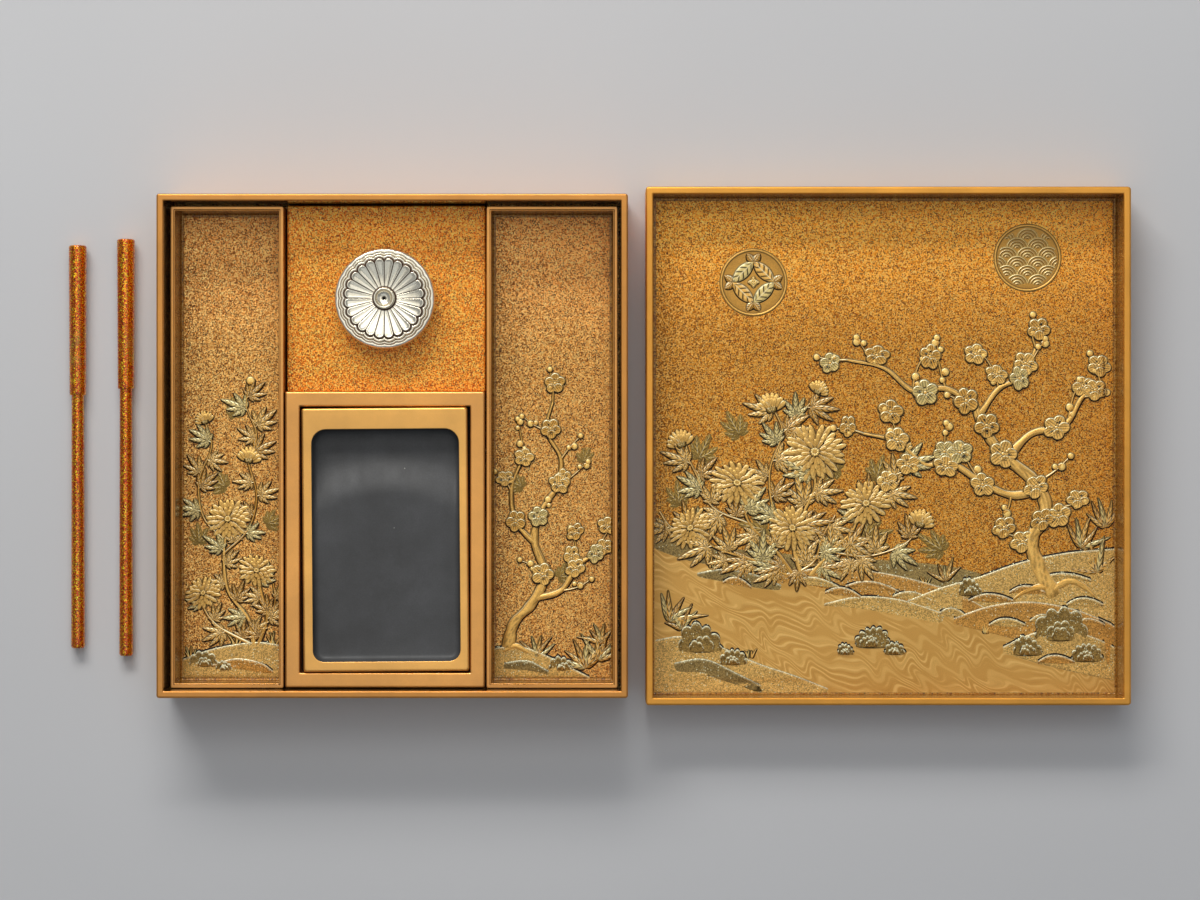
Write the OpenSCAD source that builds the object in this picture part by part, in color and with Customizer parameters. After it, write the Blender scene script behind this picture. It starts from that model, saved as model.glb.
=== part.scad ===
// Writing box for ink and brush: a low lidded box with two long lift-out trays,
// a centre board that carries an inkstone in a framed well and a water dropper
// in a round seat, a lid lying upside down beside it, and two capped brushes.
// Millimetres, +Z up. Origin: centre of the underside of the box body.

/* [Box body] */
// Outer width of the box body, left to right
box_w = 225; // [223:0.5:228]
// Outer depth of the box body, front to back
box_d = 240.7; // [239.7:0.1:244.7]
// Outer height of the box body
box_h = 40; // [39:0.5:44]
// Thickness of the box side boards
box_wall = 3.4; // [3:0.1:3.8]
// Thickness of the box bottom board
box_floor = 4; // [3.5:0.1:4.5]
// Plan radius of the outer corners
box_corner = 1.2; // [0.6:0.1:2]

/* [Lid] */
// Outer height of the lid
lid_h = 25; // [20:0.5:27]
// Thickness of the lid side boards
lid_wall = 3.6; // [3.2:0.1:3.8]
// Thickness of the lid top board
lid_board = 4; // [3.5:0.1:4.5]
// Clearance between box and lid at each long side when closed
lid_fit_x = 0.9; // [0.8:0.05:1.2]
// Clearance between box and lid at each end when closed
lid_fit_y = 1.1; // [0.8:0.05:1.3]
// Distance from the centre of the box to the centre of the open lid
lid_apart = 238.2; // [237.4:0.1:242]
// Plan radius of the outer corners of the lid
lid_corner = 1.5; // [0.8:0.1:2.2]

/* [Trays] */
// Outer width of the left tray
left_tray_w = 54.6; // [52:0.1:56]
// Outer width of the right tray
right_tray_w = 63.3; // [61:0.1:65]
// Outer depth of both trays
tray_d = 232.2; // [228:0.1:232.4]
// Height of both trays
tray_h = 22.95; // [18:0.05:25]
// Thickness of the tray side boards
tray_wall = 2.4; // [2:0.1:2.8]
// Thickness of the tray bottom boards
tray_floor = 2.7; // [2.2:0.1:3.2]
// Clearance between a tray and the box side beside it
tray_gap = 1.35; // [1:0.05:1.6]

/* [Centre board] */
// Clearance between the centre board and each tray
board_gap = 0.75; // [0.5:0.05:1]
// Clearance between the centre board and each end of the box
board_end_gap = 0.55; // [0.4:0.05:1]
// Width of the frame rails at the two ends of the well
rail_end = 7.2; // [6:0.1:8]
// Height of the top of the frame above the table
frame_top = 27; // [25:0.1:29]
// Height of the top of the flat panel above the table
panel_top = 18; // [17:0.1:20]
// Thickness of the flat panel
panel_t = 5; // [4:0.1:6]
// Height of the well floor above the table
well_top = 13; // [12:0.1:14]
// Thickness of the well floor
well_t = 3; // [2.5:0.1:4]
// Diameter of the round seat for the water dropper
seat_d = 41; // [39:0.5:42]
// Depth of the round seat
seat_t = 1.5; // [1:0.1:2]

/* [Inkstone] */
// Width of the inkstone
stone_w = 79.7; // [78:0.1:80]
// Depth of the inkstone, front to back
stone_d = 126.8; // [124:0.1:127]
// Height of the inkstone
stone_h = 15; // [13:0.1:17]
// Clear play across the well, both sides together
stone_play_x = 2.3; // [2:0.1:3]
// Clear play along the well, both ends together
stone_play_y = 1.4; // [1.3:0.1:2]
// How far the inkstone is turned in its well, degrees
stone_turn = 0.45; // [0:0.05:0.45]
// Width of the grinding pocket
pocket_w = 71; // [66:0.1:71.5]
// Depth of the grinding pocket, front to back
pocket_d = 112; // [106:0.1:113]
// Depth of the flat grinding land below the rim
land_t = 4; // [3:0.1:5]
// Depth of the ink pool below the rim
pool_t = 9.5; // [7:0.1:10]

/* [Water dropper] */
// Largest diameter of the water dropper
dropper_d = 48.2; // [47.6:0.1:49]
// Height of the water dropper without its collar
dropper_h = 16.6; // [15:0.1:17]
// Wall thickness of the water dropper
dropper_wall = 0.9; // [0.7:0.05:1.1]
// Diameter of the small water hole
dropper_hole = 2; // [1.6:0.1:2.4]

/* [Brushes] */
// Length of the left brush with its cap on
brush_a_len = 196.8; // [190:0.1:200]
// Length of the right brush with its cap on
brush_b_len = 203.7; // [196:0.1:206]
// Length of each brush cap
cap_len = 73.2; // [70:0.1:76]
// Diameter of the cap at its closed end
cap_end_d = 8.7; // [8.4:0.1:9]
// Diameter of the cap at its mouth
cap_mouth_d = 8; // [7.8:0.1:8.2]
// Diameter of the handle where it enters the cap
neck_d = 6.1; // [5.9:0.05:6.2]
// Diameter of the handle at its free end
butt_d = 6.8; // [6.6:0.05:7]
// Length of the hair showing past the handle
hair_len = 34; // [24:1:40]

/* [Hidden] */
$fn = 96;
lift = 0.05;                       // air between loose pieces and what they stand on
box_ix = box_w / 2 - box_wall;     // inner half width of the box
box_iy = box_d / 2 - box_wall;     // inner half depth of the box
lid_iw = box_w + 2 * lid_fit_x;
lid_id = box_d + 2 * lid_fit_y;
lid_w = lid_iw + 2 * lid_wall;
lid_d = lid_id + 2 * lid_wall;
in_z = box_floor + lift;           // underside of everything that stands in the box
left_x = -box_ix + tray_gap + left_tray_w / 2;
right_x = box_ix - tray_gap - right_tray_w / 2;
tray_y = -box_iy + 0.25 + tray_d / 2;
unit_x0 = left_x + left_tray_w / 2 + board_gap;
unit_x1 = right_x - right_tray_w / 2 - board_gap;
unit_w = unit_x1 - unit_x0;
unit_x = (unit_x0 + unit_x1) / 2;
unit_y0 = -box_iy + board_end_gap;
unit_y1 = box_iy - board_end_gap;
well_w = stone_w + stone_play_x;
well_d = stone_d + stone_play_y;
rail_side = (unit_w - well_w) / 2;
frame_d = well_d + 2 * rail_end;
frame_y = unit_y0 + frame_d / 2;
frame_y1 = unit_y0 + frame_d;
panel_d = unit_y1 - frame_y1;
panel_y = (unit_y1 + frame_y1) / 2;
stone_x = unit_x + 0.25;
stone_z = well_top + lift;
rim_z = stone_z + stone_h;
seat_z = panel_top - seat_t;
drop_z = seat_z + lift;            // underside of the dropper's foot
drop_r = dropper_d / 2;
drop_y = panel_y - 0.5;            // centre of the seat and the dropper
seam_z = drop_z + 5.45;            // height of the dropper's widest line
crown_z = drop_z + dropper_h;      // top of the fluted crown
brush_a_x = -156.2;
brush_b_x = -132.65;
brush_a_y = -98.8;                 // free end of the left handle
brush_b_y = -102.6;                // free end of the right handle
bore_r = neck_d / 2 + 0.05;        // bore of the caps, a close sliding fit
socket_l = 14;                     // length of the handle inside the cap

// ---- shared shapes ------------------------------------------------------

// Rectangle with rounded corners, centred
module round_rect(w, d, r) {
    square([w - 2 * r, d], center = true);
    square([w, d - 2 * r], center = true);
    for (x = [-1, 1], y = [-1, 1])
        translate([x * (w / 2 - r), y * (d / 2 - r)]) circle(r = r);
}

// Flat board with rounded plan corners
module board(w, d, t, r) { linear_extrude(t) round_rect(w, d, r); }

// One mitred side board of a rectangular box. side: 0 front, 1 right, 2 back, 3 left
module side_board(side, w, d, h, tx, ty, r) {
    a = w / 2;
    b = d / 2;
    p = side == 0 ? [[-a, -b], [a, -b], [a - tx, -b + ty], [-a + tx, -b + ty]]
      : side == 1 ? [[a, -b], [a, b], [a - tx, b - ty], [a - tx, -b + ty]]
      : side == 2 ? [[a, b], [-a, b], [-a + tx, b - ty], [a - tx, b - ty]]
      : [[-a, b], [-a, -b], [-a + tx, -b + ty], [-a + tx, b - ty]];
    intersection() {
        linear_extrude(h) polygon(p);
        translate([0, 0, -1]) linear_extrude(h + 2) round_rect(w, d, r);
    }
}

// ---- box body -----------------------------------------------------------

module box_side(side)
    color([0.74, 0.50, 0.24]) translate([0, 0, box_floor])
        side_board(side, box_w, box_d, box_h - box_floor, box_wall, box_wall, box_corner);
module box_bottom() color([0.66, 0.43, 0.18]) board(box_w, box_d, box_floor, box_corner);
module box_front() box_side(0);
module box_right() box_side(1);
module box_back() box_side(2);
module box_left() box_side(3);

// ---- lid, lying on its top beside the box -------------------------------

module lid_side(side)
    color([0.80, 0.57, 0.28]) translate([lid_apart, 0, lid_board])
        side_board(side, lid_w, lid_d, lid_h - lid_board, lid_wall, lid_wall, lid_corner);
module lid_top() color([0.72, 0.51, 0.22]) translate([lid_apart, 0, 0]) board(lid_w, lid_d, lid_board, lid_corner);
module lid_front() lid_side(0);
module lid_right() lid_side(1);
module lid_back() lid_side(2);
module lid_left() lid_side(3);

// ---- trays --------------------------------------------------------------

module tray_side(side, x, w)
    color([0.76, 0.54, 0.28]) translate([x, tray_y, in_z + tray_floor])
        side_board(side, w, tray_d, tray_h - tray_floor, tray_wall, tray_wall, 0.8);
module tray_bottom(x, w)
    color([0.70, 0.52, 0.28]) translate([x, tray_y, in_z]) board(w, tray_d, tray_floor, 0.8);
module left_tray_bottom() tray_bottom(left_x, left_tray_w);
module left_tray_front() tray_side(0, left_x, left_tray_w);
module left_tray_inner_side() tray_side(1, left_x, left_tray_w);
module left_tray_back() tray_side(2, left_x, left_tray_w);
module left_tray_outer_side() tray_side(3, left_x, left_tray_w);
module right_tray_bottom() tray_bottom(right_x, right_tray_w);
module right_tray_front() tray_side(0, right_x, right_tray_w);
module right_tray_outer_side() tray_side(1, right_x, right_tray_w);
module right_tray_back() tray_side(2, right_x, right_tray_w);
module right_tray_inner_side() tray_side(3, right_x, right_tray_w);

// ---- centre board: panel and framed well --------------------------------

module frame_rail(side)
    color([0.80, 0.58, 0.32]) translate([unit_x, frame_y, in_z])
        side_board(side, unit_w, frame_d, frame_top - in_z, rail_side, rail_end, 0.6);
module frame_rail_front() frame_rail(0);
module frame_rail_right() frame_rail(1);
module frame_rail_back() frame_rail(2);
module frame_rail_left() frame_rail(3);
module panel()
    color([0.78, 0.48, 0.20]) difference() {
        translate([unit_x0, frame_y1, panel_top - panel_t]) cube([unit_w, panel_d, panel_t]);
        translate([unit_x, drop_y, seat_z]) cylinder(d = seat_d, h = seat_t + 1);
    }
// Three strips under the panel, two long and one across the back
module panel_battens()
    color([0.25, 0.17, 0.11]) {
        h = panel_top - panel_t - in_z;
        for (x = [unit_x0, unit_x1 - 5]) translate([x, frame_y1, in_z]) cube([5, panel_d, h]);
        translate([unit_x0 + 5.3, unit_y1 - 5, in_z]) cube([unit_w - 10.6, 5, h]);
    }
module well_floor()
    color([0.22, 0.15, 0.10]) translate([unit_x - well_w / 2, frame_y - well_d / 2, well_top - well_t])
        cube([well_w, well_d, well_t]);
// Two strips under the well floor, front to back
module well_battens()
    color([0.25, 0.17, 0.11]) for (s = [-1, 1])
        translate([unit_x + s * (well_w / 2 - 6) - 4, frame_y - well_d / 2, in_z])
            cube([8, well_d, well_top - well_t - in_z]);

// ---- inkstone -----------------------------------------------------------

// Side outline of the space hollowed out of the stone: the flat land, an
// S-shaped slope, and the deep pool at the back
function slope(t) = (1 - cos(180 * t)) / 2;
module hollow_outline() {
    y0 = -pocket_d / 2;
    y1 = pocket_d / 2;
    s0 = y1 - 32;                  // where the land starts to fall
    s1 = y1 - 13;                  // where the pool is at its full depth
    polygon(concat(
        [[y0 - 1, 2], [y0 - 1, -land_t], [s0, -land_t]],
        [for (i = [1:11]) [s0 + (s1 - s0) * i / 12, -land_t - (pool_t - land_t) * slope(i / 12)]],
        [[s1, -pool_t], [y1 + 1, -pool_t], [y1 + 1, 2]]));
}
// Plan of the pocket: wider rounding at the back, tighter at the front
module pocket_plan() {
    rb = 7;
    rf = 5.5;
    a = pocket_w / 2;
    b = pocket_d / 2;
    translate([-a, -b + rf]) square([pocket_w, pocket_d - rf - rb]);
    translate([-a + rf, -b]) square([pocket_w - 2 * rf, rf + 1]);
    translate([-a + rb, b - rb - 1]) square([pocket_w - 2 * rb, rb + 1]);
    for (s = [-1, 1]) {
        translate([s * (a - rf), -b + rf]) circle(r = rf);
        translate([s * (a - rb), b - rb]) circle(r = rb);
    }
}
module inkstone()
    color([0.30, 0.30, 0.30]) translate([stone_x, frame_y, stone_z]) rotate([0, 0, stone_turn])
        difference() {
            board(stone_w, stone_d, stone_h, 1.2);
            translate([0.25, -2.7, stone_h]) intersection() {
                translate([0, 0, -pool_t - 1]) linear_extrude(pool_t + 3) pocket_plan();
                rotate([90, 0, 90]) translate([0, 0, -pocket_w]) linear_extrude(2 * pocket_w) hollow_outline();
            }
        }

// ---- water dropper ------------------------------------------------------

module dropper_bowl() {
    w = dropper_wall;
    color([0.78, 0.77, 0.74]) translate([unit_x, drop_y, 0]) rotate_extrude() polygon([
        [0, drop_z], [17.6, drop_z], [18.4, drop_z + 0.5], [18.7, drop_z + 1.7], [21.2, drop_z + 2.6],
        [drop_r - 0.9, drop_z + 4], [drop_r, seam_z],
        [drop_r - w, seam_z], [drop_r - w - 0.9, drop_z + 4.4], [20.6, drop_z + 3.3], [17.6, drop_z + 2.2],
        [17.2, drop_z + w], [0, drop_z + w]]);
}
// Upper half: a shallow dished flower inside three steps
module dropper_crown() {
    w = dropper_wall;
    r = drop_r;
    t = crown_z;
    color([0.84, 0.83, 0.80]) translate([unit_x, drop_y, 0]) rotate_extrude() polygon([
        [dropper_hole / 2, t - 2.5], [6, t - 2.5], [12, t - 1.6], [17, t - 0.4], [18.6, t], [19.5, t - 0.4],
        [19.8, t - 1.5], [21.3, t - 1.8], [21.5, t - 2.9], [22.6, t - 3.2], [22.8, t - 4.4], [r - 0.4, t - 4.8],
        [r, t - 6], [r, seam_z],
        [r - w, seam_z], [r - w, t - 6.4], [21.9, t - 5.3], [21.6, t - 4.1], [20.6, t - 3.8], [20.3, t - 2.7],
        [18.9, t - 2.4], [18.6, t - 1.4], [17, t - 1.5], [12, t - 2.6], [6, t - 3.4], [dropper_hole / 2, t - 3.4]]);
}
// Raised rim round the water hole
module dropper_collar()
    color([0.84, 0.83, 0.80]) translate([unit_x, drop_y, crown_z]) rotate_extrude() polygon([
        [dropper_hole / 2, -2.5], [5.6, -2.5], [5.2, -1.9], [4.5, -0.2], [4.6, 1.3], [4.9, 1.9], [4.75, 2.2],
        [4.1, 2.2], [3.85, 1.9], [3.4, 0.2], [2.2, -0.6], [dropper_hole / 2, -0.8]]);

// ---- brushes ------------------------------------------------------------
// Each brush lies with its closed cap end and its free end on the table, so
// its axis leans by the difference of their radii over its length.

function lean(len) = asin((cap_end_d - butt_d) / 2 / len);
// Puts a shape drawn along +Z, from the free end up, onto the table
module lie(x, y, len)
    translate([x, y, butt_d / 2 + 0.02]) rotate([lean(len), 0, 0]) rotate([-90, 0, 0]) children();

module handle(len) {
    mouth = len - cap_len;
    difference() {
        union() {
            cylinder(d = butt_d - 0.8, h = 0.7);
            translate([0, 0, 0.7]) cylinder(d1 = butt_d, d2 = neck_d, h = mouth - 0.7);
            translate([0, 0, mouth]) cylinder(d = neck_d, h = socket_l);
        }
        translate([0, 0, mouth + socket_l - 9]) cylinder(r = 2.2, h = 10);
    }
}
// Bundle of hair: a root glued in the handle's socket, a belly and a point
module hair(len) {
    z = len - cap_len + socket_l;
    rotate_extrude() polygon([
        [0, z - 9], [2.2, z - 9], [2.2, z], [2.5, z + 0.12 * hair_len], [2.6, z + 0.35 * hair_len],
        [2.2, z + 0.6 * hair_len], [1.3, z + 0.85 * hair_len], [0.25, z + hair_len], [0, z + hair_len]]);
}
module cap(len) {
    mouth = len - cap_len;
    difference() {
        union() {
            translate([0, 0, mouth]) cylinder(d1 = cap_mouth_d, d2 = cap_end_d, h = cap_len - 1);
            translate([0, 0, len - 1]) cylinder(d1 = cap_end_d, d2 = cap_end_d - 1.4, h = 1);
        }
        translate([0, 0, mouth - 1]) cylinder(r = bore_r, h = cap_len + 2);
    }
}
module cap_plug(len) translate([0, 0, len - 6]) cylinder(r = bore_r, h = 6);

module brush_a_handle() color([0.72, 0.40, 0.14]) lie(brush_a_x, brush_a_y, brush_a_len) handle(brush_a_len);
module brush_a_hair() color([0.16, 0.13, 0.11]) lie(brush_a_x, brush_a_y, brush_a_len) hair(brush_a_len);
module brush_a_cap() color([0.74, 0.42, 0.14]) lie(brush_a_x, brush_a_y, brush_a_len) cap(brush_a_len);
module brush_a_cap_plug() color([0.74, 0.42, 0.14]) lie(brush_a_x, brush_a_y, brush_a_len) cap_plug(brush_a_len);
module brush_b_handle() color([0.72, 0.40, 0.14]) lie(brush_b_x, brush_b_y, brush_b_len) handle(brush_b_len);
module brush_b_hair() color([0.16, 0.13, 0.11]) lie(brush_b_x, brush_b_y, brush_b_len) hair(brush_b_len);
module brush_b_cap() color([0.74, 0.42, 0.14]) lie(brush_b_x, brush_b_y, brush_b_len) cap(brush_b_len);
module brush_b_cap_plug() color([0.74, 0.42, 0.14]) lie(brush_b_x, brush_b_y, brush_b_len) cap_plug(brush_b_len);

// ---- drawing ------------------------------------------------------------

box_bottom();
box_front();
box_back();
box_left();
box_right();
lid_top();
lid_front();
lid_back();
lid_left();
lid_right();
left_tray_bottom();
left_tray_front();
left_tray_back();
left_tray_outer_side();
left_tray_inner_side();
right_tray_bottom();
right_tray_front();
right_tray_back();
right_tray_inner_side();
right_tray_outer_side();
panel();
panel_battens();
well_floor();
well_battens();
frame_rail_front();
frame_rail_back();
frame_rail_left();
frame_rail_right();
inkstone();
dropper_bowl();
dropper_crown();
dropper_collar();
brush_a_handle();
brush_a_hair();
brush_a_cap();
brush_a_cap_plug();
brush_b_handle();
brush_b_hair();
brush_b_cap();
brush_b_cap_plug();
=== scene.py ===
import math
import random

import bpy
import numpy as np
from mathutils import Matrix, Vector
from mathutils.geometry import delaunay_2d_cdt


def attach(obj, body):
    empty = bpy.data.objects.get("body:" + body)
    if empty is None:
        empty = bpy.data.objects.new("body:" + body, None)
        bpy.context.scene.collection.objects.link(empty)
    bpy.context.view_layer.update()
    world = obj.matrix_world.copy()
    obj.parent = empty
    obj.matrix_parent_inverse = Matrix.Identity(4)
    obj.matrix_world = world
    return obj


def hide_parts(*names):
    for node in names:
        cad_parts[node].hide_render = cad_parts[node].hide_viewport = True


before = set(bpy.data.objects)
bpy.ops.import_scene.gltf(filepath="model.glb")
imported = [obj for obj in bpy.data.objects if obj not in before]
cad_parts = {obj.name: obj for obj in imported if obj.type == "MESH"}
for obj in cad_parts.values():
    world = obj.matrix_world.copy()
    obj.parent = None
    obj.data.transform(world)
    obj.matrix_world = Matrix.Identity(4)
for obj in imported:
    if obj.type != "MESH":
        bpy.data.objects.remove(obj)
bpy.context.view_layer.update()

MM = 0.001
PI = math.pi
scene = bpy.context.scene
scene.view_settings.view_transform = "Standard"
scene.view_settings.look = "None"

# ---------------------------------------------------------------- sizes, mm
BOX_W, BOX_D, BOX_H, BOX_T, BOX_F = 225.0, 240.7, 40.0, 3.4, 4.0
LID_X, LID_W, LID_D, LID_H, LID_T, LID_F = 238.2, 234.0, 250.1, 25.0, 3.6, 4.0
TRAY_Y, TRAY_D, TRAY_Z, TRAY_H, TRAY_T, TRAY_F = -0.6, 232.2, 4.05, 22.95, 2.4, 2.7
LT_X, LT_W = -80.45, 54.6
RT_X, RT_W = 76.1, 63.3
U_X, U_W, U_Y0, U_Y1 = -4.35, 96.1, -116.4, 116.4
F_Y, F_D, F_TOP, R_SIDE, R_END = -45.1, 142.6, 27.0, 7.05, 7.2
P_Y, P_D, P_TOP, P_T = 71.3, 90.2, 18.0, 5.0
S_X, S_Y, S_W, S_D, S_Z0, S_Z1 = -4.1, -45.1, 79.7, 126.8, 13.05, 28.05
S_TURN = math.radians(0.45)
PK_X, PK_Y, PK_W, PK_D, LAND, POOL = 0.25, -2.7, 71.0, 112.0, 24.05, 18.55
D_Y, D_FOOT, D_SEAM, D_TOP, D_R = 70.8, 16.55, 22.0, 33.15, 24.1


# ---------------------------------------------------------------- helpers
def lin(r, g, b):
    """Display colour 0..255 to linear."""
    out = []
    for c in (r, g, b):
        c = c / 255
        out.append(c / 12.92 if c <= 0.04045 else ((c + 0.055) / 1.055) ** 2.4)
    return (*out, 1.0)


def disp(r, g, b, gain=1.0, veil=0.012):
    """Base colour that shows as the given display colour under this studio's light."""
    return tuple(min(0.97, max(0.004, (c - veil) / gain)) for c in lin(r, g, b)[:3]) + (1.0,)


def make(name, verts, faces, mats, body, ids=None, smooth=True, sharp=None, replaces=(), attrs=None, scale=MM):
    me = bpy.data.meshes.new(name)
    v = np.asarray(verts, float) * scale
    me.from_pydata(v.tolist(), [], [tuple(int(i) for i in f) for f in faces])
    for m in mats:
        me.materials.append(m)
    if ids is not None:
        me.polygons.foreach_set("material_index", list(ids))
    me.polygons.foreach_set("use_smooth", [bool(smooth)] * len(me.polygons))
    if sharp is not None:
        me.set_sharp_from_angle(angle=math.radians(sharp))
    for key, values in (attrs or {}).items():
        values = np.asarray(values, np.float32)
        if values.ndim == 1:
            me.attributes.new(key, "FLOAT", "POINT").data.foreach_set("value", values)
        else:
            rgba = np.ones((len(values), 4), np.float32)
            rgba[:, :3] = values[:, :3]
            me.attributes.new(key, "FLOAT_COLOR", "POINT").data.foreach_set("color", rgba.ravel())
    me.update()
    ob = bpy.data.objects.new(name, me)
    scene.collection.objects.link(ob)
    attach(ob, body)
    if replaces:
        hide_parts(*replaces)
    return ob


def rrect(cx, cy, hx, hy, r, z, n=8):
    """Points of a rounded rectangle, counter-clockwise from above."""
    r = max(min(r, hx, hy), 0.02)
    out = []
    for k, (sx, sy) in enumerate(((1, 1), (-1, 1), (-1, -1), (1, -1))):
        for i in range(n + 1):
            a = PI / 2 * (k + i / n)
            out.append((cx + sx * (hx - r) + r * math.cos(a), cy + sy * (hy - r) + r * math.sin(a), z))
    return out


def rounded(path, seg=6):
    """path: (distance in, z, radius, tag). Arcs replace the corners. Gives (distance in, z, tag)."""
    out = []
    for i, (d, z, r, tag) in enumerate(path):
        if r <= 0 or i in (0, len(path) - 1):
            out.append((d, z, tag))
            continue
        p = np.array((d, z), float)
        a = np.array(path[i - 1][:2], float) - p
        b = np.array(path[i + 1][:2], float) - p
        a /= np.linalg.norm(a)
        b /= np.linalg.norm(b)
        th = math.acos(max(-1, min(1, float(a @ b))))
        t = r / math.tan(th / 2)
        c = p + (a + b) / np.linalg.norm(a + b) * r / math.sin(th / 2)
        u0, u1 = p + a * t - c, p + b * t - c
        a0 = math.atan2(u0[1], u0[0])
        a1 = math.atan2(u1[1], u1[0])
        turn = (a1 - a0 + PI) % (2 * PI) - PI
        prev = path[i - 1][3]
        s = p + a * (t + 0.25 * r)
        out.append((s[0], s[1], prev))
        for k in range(seg + 1):
            ang = a0 + turn * k / seg
            out.append((c[0] + r * math.cos(ang), c[1] + r * math.sin(ang), prev if k < seg * 0.5 else tag))
        s = p + b * (t + 0.25 * r)
        out.append((s[0], s[1], tag))
    return out


def loft(rings, tags, cap0=None, cap1=None, closed=False):
    """Faces between rings of equal length. A cap is the tag of its own face."""
    n = len(rings[0])
    verts = [p for ring in rings for p in ring]
    faces, ids = [], []
    m = len(rings)
    for i in range(m if closed else m - 1):
        k = (i + 1) % m
        for j in range(n):
            q = (j + 1) % n
            faces.append((i * n + j, i * n + q, k * n + q, k * n + j))
            ids.append(tags[i])
    if cap0 is not None:
        faces.append(tuple(range(n - 1, -1, -1)))
        ids.append(cap0)
    if cap1 is not None:
        faces.append(tuple((m - 1) * n + j for j in range(n)))
        ids.append(cap1)
    return verts, faces, ids


def open_box(cx, cy, w, d, rc, profile, r_in=0.5, cap0=None, cap1=None):
    """A lacquered box or tray as one skin: profile gives the section from the middle of the underside, over the rim, to the floor."""
    rings, tags = [], []
    for off, z, tag in profile:
        r = rc - off if off < rc else r_in
        rings.append(rrect(cx, cy, w / 2 - off, d / 2 - off, max(r, r_in), z))
        tags.append(tag)
    return loft(rings, tags, cap0, cap1)


# ---------------------------------------------------------------- node helpers
class Mat:
    def __init__(self, name, **sockets):
        self.m = bpy.data.materials.new(name)
        self.m.use_nodes = True
        self.t = self.m.node_tree
        self.b = self.t.nodes["Principled BSDF"]
        for k, v in sockets.items():
            self.b.inputs[k.replace("_", " ")].default_value = v

    def n(self, kind, inputs=None, **props):
        node = self.t.nodes.new(kind)
        for k, v in props.items():
            setattr(node, k, v)
        for k, v in (inputs or {}).items():
            self.put(node.inputs[k], v)
        return node

    def put(self, socket, v):
        if isinstance(v, bpy.types.NodeSocket):
            self.t.links.new(v, socket)
        else:
            socket.default_value = v

    def math(self, op, a, b=None, c=None, clamp=False):
        node = self.n("ShaderNodeMath", operation=op, use_clamp=clamp)
        for i, v in enumerate((a, b, c)):
            if v is not None:
                self.put(node.inputs[i], v)
        return node.outputs[0]

    def vmath(self, op, a, b=None, scale=None):
        node = self.n("ShaderNodeVectorMath", operation=op)
        self.put(node.inputs[0], a)
        if b is not None:
            self.put(node.inputs[1], b)
        if scale is not None:
            self.put(node.inputs["Scale"], scale)
        return node.outputs[0]

    def mix(self, f, a, b, blend="MIX"):
        node = self.n("ShaderNodeMix", data_type="RGBA", blend_type=blend)
        self.put(node.inputs["Factor"], f)
        self.put([s for s in node.inputs if s.name == "A" and s.type == "RGBA"][0], a)
        self.put([s for s in node.inputs if s.name == "B" and s.type == "RGBA"][0], b)
        return [s for s in node.outputs if s.type == "RGBA"][0]

    def ramp(self, f, stops, mode="LINEAR"):
        node = self.n("ShaderNodeValToRGB")
        node.color_ramp.interpolation = mode
        e = node.color_ramp.elements
        while len(e) < len(stops):
            e.new(0.5)
        for el, (pos, col) in zip(e, stops):
            el.position = pos
            el.color = col if len(col) == 4 else (*col, 1)
        self.put(node.inputs[0], f)
        return node.outputs[0]

    def noise(self, vec, scale, detail=2.0, rough=0.5, out="Fac"):
        node = self.n("ShaderNodeTexNoise", {"Vector": vec, "Scale": scale, "Detail": detail, "Roughness": rough})
        return node.outputs[out]

    def voronoi(self, vec, scale, feature="F1"):
        return self.n("ShaderNodeTexVoronoi", {"Vector": vec, "Scale": scale}, feature=feature)

    def obj(self):
        return self.n("ShaderNodeTexCoord").outputs["Object"]

    def maprange(self, v, a, b, c, d, smooth=False):
        node = self.n("ShaderNodeMapRange", clamp=True)
        if smooth:
            node.interpolation_type = "SMOOTHSTEP"
        for k, x in zip(("Value", "From Min", "From Max", "To Min", "To Max"), (v, a, b, c, d)):
            self.put(node.inputs[k], x)
        return node.outputs["Result"]

    def bump(self, height, strength, distance, normal=None):
        node = self.n("ShaderNodeBump", {"Height": height, "Strength": strength, "Distance": distance})
        if normal is not None:
            self.put(node.inputs["Normal"], normal)
        return node.outputs["Normal"]

    def set(self, **kw):
        for k, v in kw.items():
            self.put(self.b.inputs[k.replace("_", " ")], v)
        return self.m


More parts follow.
